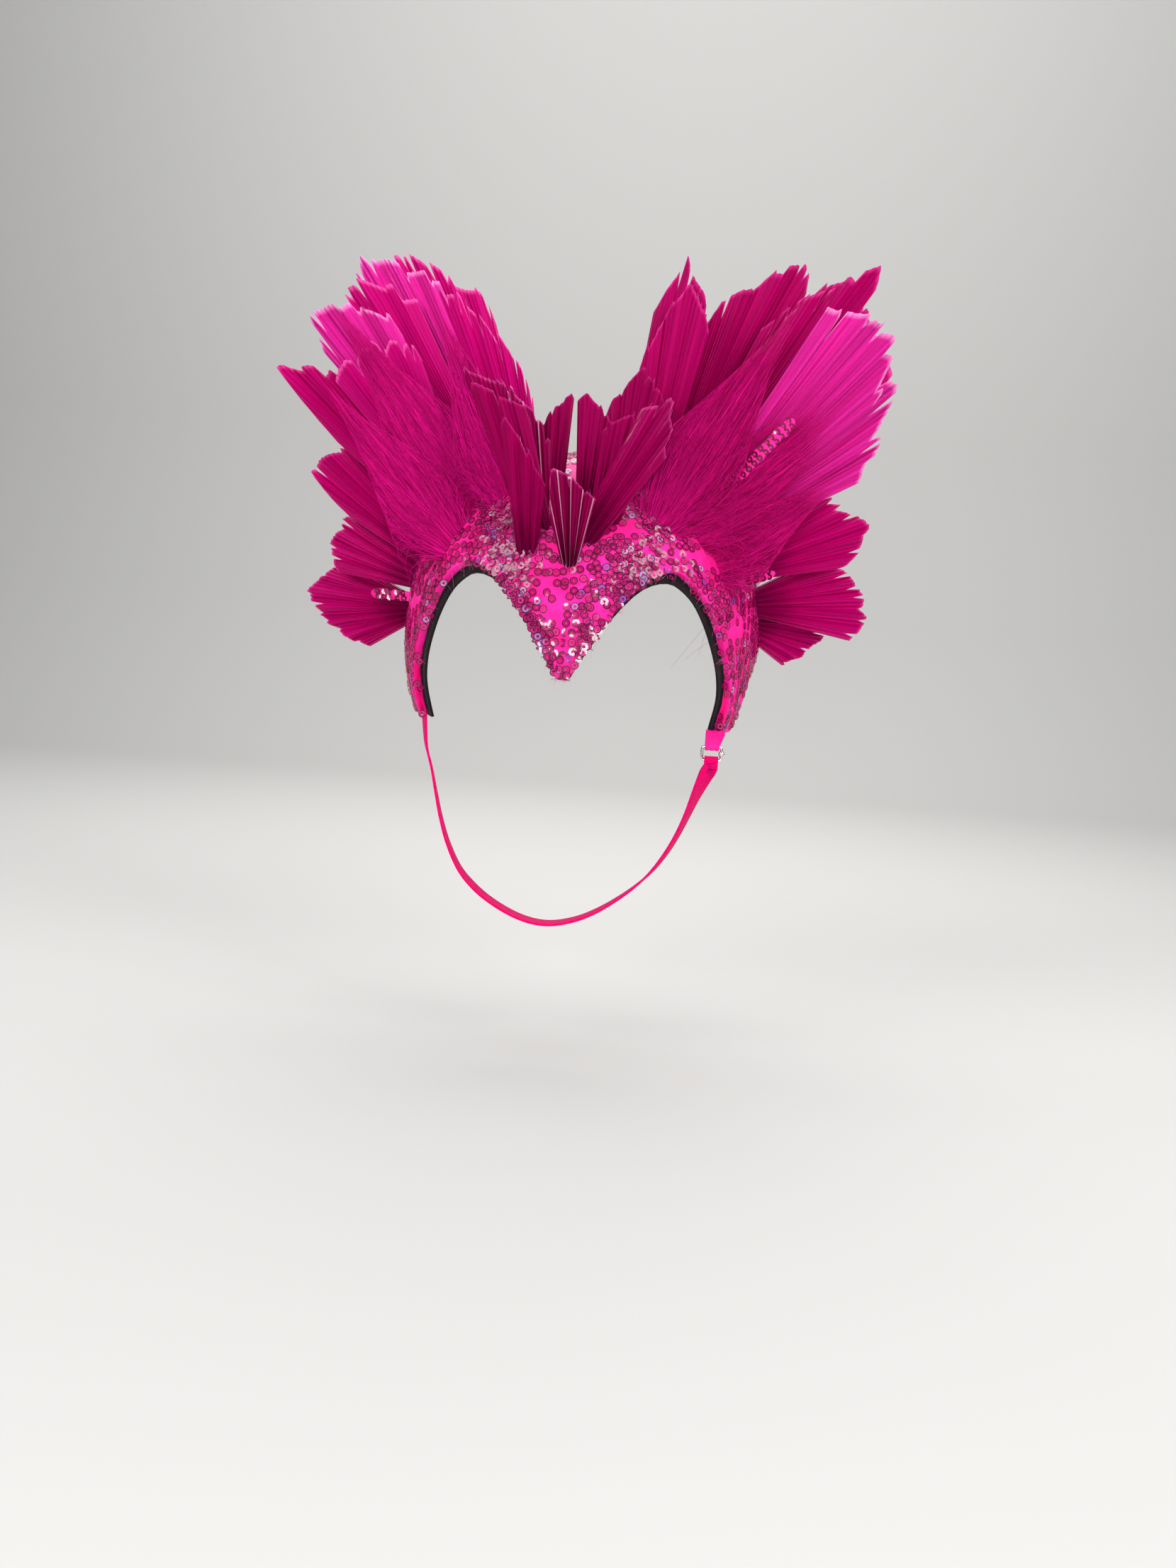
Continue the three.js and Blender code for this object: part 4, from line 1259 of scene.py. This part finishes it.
def makeStrap():
    stations = strapStations()
    points = [s[0] for s in stations]
    outs = [s[1] for s in stations]
    widths = [s[2] for s in stations]
    last = len(stations) - 1

    def place(u, v):
        t = v * last
        at = curveThrough(points, t)
        after, before = min(last, t + 0.05), max(0, t - 0.05)
        ahead = (curveThrough(points, after) - curveThrough(points, before)).normalized()
        across = ahead.cross(curveThrough(outs, t)).normalized()
        return at + across * (u - 0.5) * curveThrough(widths, t)

    band = asPiece("chin_strap_elastic", mappedGrid(8, last * 8, place), elastic, "chin_strap")
    thicken(band, strap["thick"], 0)
    roundEdges(band, strap["edgeRound"], 2)


def makeLoop():
    bar = Vector(hook["at"]) + Vector((0, 0, hook["halfHigh"]))
    reach = hook["wire"] / 2 + strap["gap"] + strap["thick"] / 2
    rise = strap["loopRise"] - reach

    def place(u, v):
        turn = v * 2 * math.pi
        ruffle = strap["ruffle"] * math.sin(u * strap["ruffles"] + 3 * math.cos(turn))
        y, z = (reach + ruffle) * math.cos(turn), -(reach + ruffle) * math.sin(turn)
        top = smoothStep(math.sin(turn), 0.15, -0.15)
        gather = 1 + strap["gather"] * top
        return bar + Vector(((u - 0.5) * strap["eyeWidth"] * gather + top, y, z + rise * top))

    bm = mappedGrid(14, 48, place)
    bmesh.ops.remove_doubles(bm, verts=list(bm.verts), dist=1e-6)
    loop = asPiece("band_loop_cloth", bm, satin, "band_loop")
    thicken(loop, strap["thick"] * 0.8, 0)


def makeHook():
    middle = Vector(hook["at"])

    def place(u, v):
        turn, around = v * 2 * math.pi, u * 2 * math.pi

        def square(value):
            return math.copysign(abs(value) ** hook["corner"], value)

        out = Vector((math.cos(turn), 0, math.sin(turn)))
        spine = Vector((hook["halfWide"] * square(out.x), 0, hook["halfHigh"] * square(out.z)))
        side = out * math.cos(around) + Vector((0, 1, 0)) * math.sin(around)
        return middle + spine + side * hook["wire"] / 2

    bm = mappedGrid(12, 56, place)
    bmesh.ops.remove_doubles(bm, verts=list(bm.verts), dist=1e-6)
    ballAt = Matrix.Translation((middle + Vector((hook["halfWide"], -hook["ballFront"], 0))) * mm)
    ballHalf = hook["ball"] / 2 * mm
    bmesh.ops.create_uvsphere(bm, u_segments=24, v_segments=16, radius=ballHalf, matrix=ballAt)
    bmesh.ops.recalc_face_normals(bm, faces=list(bm.faces))
    asPiece("hook_wire", bm, wire, "strap_hook")


stitch = {
    "rows": 5,
    "below": 1.6,  # the first under the hook's lower bar
    "apart": 0.75,
    "halfWide": 2.1,
    "loose": 0.3,
    "raised": 0.1,
    "thick": 0.16,
}


def sewStrap():  # the thread that holds the strap's eye shut
    rng = random.Random(41)
    ahead = hook["wire"] / 2 + strap["gap"] + strap["thick"] + stitch["raised"]
    front = Vector(hook["at"]) - Vector((0, ahead, hook["halfHigh"]))
    paths = []
    for row in range(stitch["rows"]):
        level = -stitch["below"] - stitch["apart"] * row
        ends = []
        for side in (-1, 1):
            x = side * stitch["halfWide"] + rng.gauss(0, stitch["loose"])
            ends.append(Vector((x, 0, level + rng.gauss(0, stitch["loose"]))))
        paths.append([front + ends[0].lerp(ends[1], t) for t in (0, 0.5, 1)])
    strandPiece("strap_stitches", paths, [0.5] * len(paths), stitch["thick"], sewing)


makeStrap()
makeLoop()
makeHook()
sewStrap()
print("strap hooked on")
